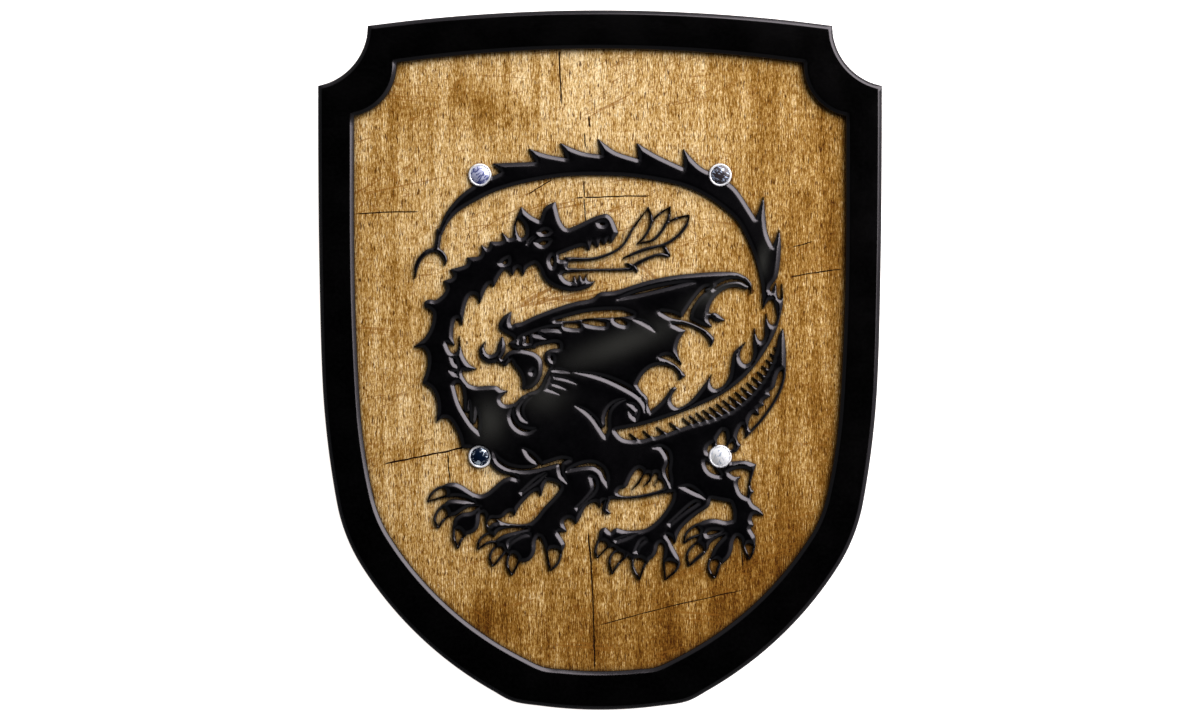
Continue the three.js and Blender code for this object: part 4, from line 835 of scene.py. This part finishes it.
def make_bolt(where):
    """A polished head, a raised ring with a painted highlight about a low hammered dome with painted
    reflections, on a threaded shank.
    """
    low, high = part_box(f"bolt_{where}")
    centre = (low + high) / 2
    radius = (high.x - low.x) / 2
    tall = high.z - FRONT
    # (radius, height) from the middle of the foot to the middle of the dome
    profile = [(SHANK_RADIUS - SHANK_CHAMFER, low.z), (SHANK_RADIUS - 0.1 * MM, low.z + 0.4 * MM)]
    z = low.z + SHANK_CHAMFER
    while z < BACK - THREAD_GAP:
        profile += [(SHANK_RADIUS, z), (SHANK_RADIUS - THREAD_DEPTH, z + THREAD_PITCH / 2)]
        z += THREAD_PITCH
    profile += [(SHANK_RADIUS, BACK - 2 * MM), (SHANK_RADIUS, FRONT)]
    profile += [(radius * out, FRONT + up * tall) for out, up in RING_PROFILE]
    dome_from = len(profile)
    for i in range(DOME_STEPS):
        share = DOME_RADIUS * (1 - i / DOME_STEPS)
        up = DOME_FOOT + DOME_RISE * (1 - (share / DOME_RADIUS) ** 2)
        profile.append((radius * share, FRONT + tall * up))

    angles = np.arange(BOLT_SIDES) / BOLT_SIDES * 2 * math.pi
    own_place = Vector((centre.x, centre.y, 0)) / (30 * MM) * 50  # in the noise, so that no two domes match
    rings = [at_height(circle((centre.x, centre.y), reach, angles), z) for reach, z in profile]
    for ring in rings[dome_from:]:
        for point in ring:
            hammered = noise.noise(Vector(point) / HAMMER_SIZE + own_place)
            point[2] += HAMMER_HEIGHT * hammered - HAMMER_DROP
    vertices, faces = loft(rings)
    count = len(vertices)
    ends = [(centre.x, centre.y, low.z), (centre.x, centre.y, FRONT + tall * DOME_TOP)]
    vertices = np.vstack([vertices, ends])
    faces += [(count, b, a) for a, b in ring_edges(0, BOLT_SIDES)]
    faces += [(a, b, count + 1) for a, b in ring_edges(count - BOLT_SIDES, BOLT_SIDES)]
    which = np.zeros(len(faces), np.int32)
    which[: dome_from * BOLT_SIDES] = 1
    add_piece(
        f"bolt_head_{where}", vertices, faces,
        replaces=(f"bolt_{where}",), materials=(BOLT_PAINTED_REFLECTIONS[where], RING_PAINTED_HIGHLIGHT), smooth_angle=40,
        face_material=which,
    )


def finish_hardware(where):
    """Softens the CAD nut and washer, whose shapes are right, and gives them their steel."""
    for kind, width in SOFT_EDGES.items():
        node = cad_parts[f"{kind}_{where}"]
        node.data.materials.clear()
        node.data.materials.append(HARDWARE)
        weld = node.modifiers.new("weld", "WELD")
        weld.merge_threshold = 1e-6
        bevel = node.modifiers.new("soft_edges", "BEVEL")
        bevel.width = width
        bevel.segments = 2
        bevel.limit_method = "ANGLE"
        bevel.angle_limit = math.radians(50)


# ---- straps ----------------------------------------------------------------------------------------------

SPAN_STEPS = 8  # to a stretch between two points of its middle line
STRAP_STEP = 2 * MM
STRAP_ROWS = 7  # of points along its middle
STRAP_MARGIN = 7 * MM  # from its ends to those points
STRAP_CORNER = 9 * MM  # radius of the corners of its ends
HOLE_PLACE = 13 * MM  # from each end to the middle of its hole
HOLE_RINGS = [(2.8 * MM, 0.4), (3.2 * MM, 1)]  # radius, and height in half thicknesses
SEAM = 4.2 * MM  # from the edge to the seam
# from the edge, and height in half thicknesses: a rounded edge and the groove of the seam
EDGE_RINGS = [
    (0, 0.3), (0.35 * MM, 0.78), (0.9 * MM, 1), (SEAM - 0.7 * MM, 1), (SEAM, 0.74), (SEAM + 0.7 * MM, 1),
]
SEAM_RING = 4  # its place in EDGE_RINGS
STITCH_LENGTH = 3.1 * MM
STITCH_PITCH = 4.6 * MM
STITCH_RADIUS = 0.33 * MM


def strap_line(node):
    """The middle line of a CAD strap from its upper end: lengths along it, (y, z) points and normals."""
    low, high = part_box(node)
    loop = face_loops(node, high.x, axis=0)[0]
    loop = np.roll(loop, -np.argmax(loop.sum(1)), 0)
    if loop[1, 1] < loop[-1, 1]:
        loop = np.roll(loop[::-1], 1, 0)
    count = len(loop) // 2
    upper, lower = loop[:count], loop[: count - 1 : -1]
    middle = (upper + lower) / 2
    middle[0, 0], middle[-1, 0] = high.y, low.y
    normals = (upper - lower) / np.linalg.norm(upper - lower, axis=1)[:, None]
    headings = np.column_stack([-normals[:, 1], normals[:, 0]])
    line = []
    for a, b, leave, arrive in zip(middle, middle[1:], headings, headings[1:]):
        span = np.linalg.norm(b - a)
        line.append(cubic(a, b, leave * span, arrive * span, np.arange(SPAN_STEPS) / SPAN_STEPS))
    line = np.concatenate([*line, middle[-1:]])
    along = np.gradient(line, axis=0)
    normal = np.column_stack([along[:, 1], -along[:, 0]]) / np.linalg.norm(along, axis=1)[:, None]
    lengths = np.concatenate([[0], np.cumsum(np.linalg.norm(np.diff(line, axis=0), axis=1))])
    return lengths, line, normal


def rounded_outline(half_length, half_width, corner, inset):
    """A rounded rectangle about the origin, moved in by inset, as an anticlockwise loop."""
    arcs = []
    for turn, (sx, sy) in enumerate(((1, 1), (-1, 1), (-1, -1), (1, -1))):
        middle = (sx * (half_length - corner), sy * (half_width - corner))
        arcs.append(circle(middle, corner - inset, np.radians(90 * turn + np.arange(0, 91, 10))))
    return np.concatenate(arcs)


def stitch_shape():
    """A plump stitch along the first axis: vertices about the origin, and faces."""
    around = np.radians(np.arange(0, 360, 60))
    rings = []
    for share in (-0.5, -0.42, -0.2, 0.2, 0.42, 0.5):
        girth = STITCH_RADIUS * (1 - (2 * share) ** 6) ** 0.5 + 1e-6
        rings.append(np.roll(at_height(circle((0, 0), girth, around), share * STITCH_LENGTH), 1, axis=1))
    vertices, faces = loft(rings)
    count = len(around)
    caps = [tuple(reversed(range(count))), tuple(range(len(vertices) - count, len(vertices)))]
    return vertices, faces + caps


def make_strap(side):
    """A rounded leather band with a hole at each end and a grooved seam, bent along the CAD strap."""
    node = f"strap_{side}"
    low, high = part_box(node)
    lengths, line, normal = strap_line(node)
    half_length = lengths[-1] / 2
    half_width = (high.x - low.x) / 2
    half_thickness = (high.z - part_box(f"washer_upper_{side}")[1].z) / 2

    def bent(flat, height):
        """Where points of the flat leather lie on the strap, at a height over its middle."""
        s = flat[:, 0] + half_length
        y, z, ny, nz = (np.interp(s, lengths, column) for column in (*line.T, *normal.T))
        return np.column_stack([flat[:, 1] + (low.x + high.x) / 2, y + ny * height, z + nz * height])

    outlines = [rounded_outline(half_length, half_width, STRAP_CORNER, inset) for inset, _ in EDGE_RINGS]
    straight = np.ones(len(outlines[0]), bool)
    counts = side_counts(outlines[0], STRAP_STEP)
    rings = [(smoothed(loop, straight, counts), height) for loop, (_, height) in zip(outlines, EDGE_RINGS)]
    around = np.radians(np.arange(0, 360, 15))
    bounds = [rings[0][0]]
    for end in (-1, 1):
        for radius, height in HOLE_RINGS:
            place = (end * (half_length - HOLE_PLACE), 0)
            rings.append((circle(place, radius, around), height))
        bounds.append(rings[-len(HOLE_RINGS)][0])
    points, heights, edges, starts = [], [], [], []
    for ring, height in rings:
        if any(ring is bound for bound in bounds):
            starts.append((len(points), len(ring)))
            edges += ring_edges(len(points), len(ring))
        points += list(ring)
        heights += [height] * len(ring)
    inner_length = half_length - STRAP_MARGIN
    inner_width = half_width - EDGE_RINGS[-1][0] - MM
    columns = np.arange(-inner_length, inner_length, STRAP_STEP)
    rows = np.linspace(-inner_width, inner_width, STRAP_ROWS)
    grid = [(along, across) for along in columns for across in rows]
    clear = HOLE_RINGS[-1][0] + MM
    grid = [p for p in grid if math.hypot(abs(p[0]) - half_length + HOLE_PLACE, p[1]) > clear]
    points += grid
    heights += [1] * len(grid)
    flat, triangles, origin = triangulate(points, edges, bounds)
    height = np.array([heights[o] for o in origin]) * half_thickness
    place_of = {o: i for i, o in enumerate(origin)}
    count = len(flat)
    vertices = [bent(flat, height), bent(flat, -height)]
    faces = [tuple(f) for f in triangles] + [tuple(v + count for v in reversed(f)) for f in triangles]
    for start, number in starts:
        ring = np.array([place_of[start + i] for i in range(number)])
        wall = bridge(ring + count, ring)
        faces += wall if start == 0 else [tuple(reversed(f)) for f in wall]
    leather_faces = len(faces)

    seam = smoothed(outlines[SEAM_RING], straight, counts)
    sides = np.roll(seam, -1, 0) - seam
    marks = np.concatenate([[0], np.cumsum(np.linalg.norm(sides, axis=1))])
    number = round(marks[-1] / STITCH_PITCH)
    shape, shape_faces = stitch_shape()
    total = 2 * count
    for i in range(number):
        at = marks[-1] * i / number
        index = np.searchsorted(marks, at, side="right") - 1
        middle = seam[index] + sides[index] * (at - marks[index]) / (marks[index + 1] - marks[index])
        way = sides[index] / np.linalg.norm(sides[index])
        across = np.array([-way[1], way[0]])
        flat_stitch = middle + shape[:, :1] * way + shape[:, 1:2] * across
        for face in (1, -1):
            level = face * (half_thickness - STITCH_RADIUS + shape[:, 2])
            vertices.append(bent(flat_stitch, level))
            order = 1 if face == 1 else -1
            faces += [tuple(v + total for v in f[::order]) for f in shape_faces]
            total += len(shape)
    which = np.zeros(len(faces), np.int32)
    which[leather_faces:] = 1
    add_piece(
        f"strap_leather_{side}", np.concatenate(vertices), faces,
        replaces=(node,), materials=(LEATHER, THREAD), smooth_angle=50, face_material=which,
    )


make_board()
make_rim()
make_dragon()
for name in BOLTS:
    make_bolt(name)
    finish_hardware(name)
for side in ("left", "right"):
    make_strap(side)


# ---- stage, light and camera -----------------------------------------------------------------------------

FLOOR_HALF = 6.0
FLOOR_GAP = 0.2 * MM
IMAGE_SHAPE = 1200 / 720  # width over height
SHIELD_SHARE = 0.9708  # of the image's height
FOCAL_LENGTH = 120  # mm, as of a camera with a sensor of this width
SENSOR_WIDTH = 36


def make_floor():
    """A white floor just under the shield, which glows so that it stays white beside it."""
    mesh = bpy.data.meshes.new("floor")
    corners = [(x * FLOOR_HALF, y * FLOOR_HALF, 0) for x, y in ((-1, -1), (1, -1), (1, 1), (-1, 1))]
    mesh.from_pydata(corners, [], [(0, 1, 2, 3)])
    floor = bpy.data.objects.new("floor", mesh)
    floor.location.z = cad_box[0][2] - FLOOR_GAP
    bpy.context.scene.collection.objects.link(floor)
    shade = Shader("floor", Roughness=0.9, Specular_IOR_Level=0.0, Emission_Strength=0.95)
    shade.surface.inputs["Base Color"].default_value = (0.8, 0.8, 0.8, 1)
    shade.surface.inputs["Emission Color"].default_value = (1, 1, 1, 1)
    mesh.materials.append(shade.material)


def make_world():
    """A studio surround: bright low walls, brightest towards the key light, under a dark ceiling."""
    world = bpy.data.worlds.new("studio")
    bpy.context.scene.world = world
    world.use_nodes = True
    tree = world.node_tree

    def add(kind, **settings):
        node = tree.nodes.new("ShaderNode" + kind)
        for key, value in settings.items():
            setattr(node, key, value)
        return node

    def ramp(value, stops):
        node = add("ValToRGB")
        tree.links.new(value, node.inputs["Fac"])
        for _ in stops[2:]:
            node.color_ramp.elements.new(0.5)
        for element, (place, colour) in zip(node.color_ramp.elements, stops):
            element.position = place
            element.color = (*colour, 1)
        return node.outputs["Color"]

    direction = add("TexCoord").outputs["Generated"]
    split = add("SeparateXYZ")
    tree.links.new(direction, split.inputs[0])
    walls_to_ceiling = [(0.0, (1, 1, 1)), (0.55, (1, 1, 1)), (0.8, (0.05, 0.05, 0.05)), (1.0, (0, 0, 0))]
    height = ramp(split.outputs["Z"], walls_to_ceiling)

    # the product with a half-long arrow at the key light runs from -0.5 to 0.5
    towards = add("VectorMath", operation="DOT_PRODUCT")
    tree.links.new(direction, towards.inputs[0])
    towards.inputs[1].default_value = (0.38, 0.33, 0)
    shift = add("Math", operation="ADD")
    tree.links.new(towards.outputs["Value"], shift.inputs[0])
    shift.inputs[1].default_value = 0.5
    away_to_key = [(0.0, (0.1, 0.11, 0.12)), (0.45, (0.28, 0.29, 0.3)), (1.0, (1.0, 0.97, 1.06))]
    side = ramp(shift.outputs[0], away_to_key)
    product = add("VectorMath", operation="MULTIPLY")
    tree.links.new(height, product.inputs[0])
    tree.links.new(side, product.inputs[1])
    tree.links.new(product.outputs[0], tree.nodes["Background"].inputs["Color"])


def add_area(name, azimuth, elevation, distance, width, height, power, colour):
    """A rectangular light that shines at the middle of the shield from a direction in degrees."""
    middle = Vector((0, 0, FRONT))
    a, e = math.radians(azimuth), math.radians(elevation)
    way = Vector((math.cos(a) * math.cos(e), math.sin(a) * math.cos(e), math.sin(e)))
    data = bpy.data.lights.new(name, "AREA")
    data.shape = "RECTANGLE"
    data.size = width
    data.size_y = height
    data.energy = power
    data.color = colour
    light = bpy.data.objects.new(name, data)
    light.location = middle + way * distance
    light.rotation_euler = way.to_track_quat("Z", "Y").to_euler()
    bpy.context.scene.collection.objects.link(light)


def make_camera():
    """Straight above the shield. The view holds its height with the margin seen above and below it."""
    low, high = (Vector(corner) for corner in cad_box)
    data = bpy.data.cameras.new("camera")
    data.lens = FOCAL_LENGTH
    data.sensor_width = SENSOR_WIDTH
    view_width = (high.y - low.y) / SHIELD_SHARE * IMAGE_SHAPE
    camera = bpy.data.objects.new("camera", data)
    camera.location = (low + high) / 2
    camera.location.z = FRONT + view_width * FOCAL_LENGTH / SENSOR_WIDTH
    bpy.context.scene.collection.objects.link(camera)
    bpy.context.scene.camera = camera


make_floor()
make_world()
add_area(
    "key", azimuth=46, elevation=33, distance=1.7, width=2.4, height=1.3, power=69, colour=(1, 0.98, 1)
)
make_camera()
bpy.context.scene.view_settings.view_transform = "Standard"
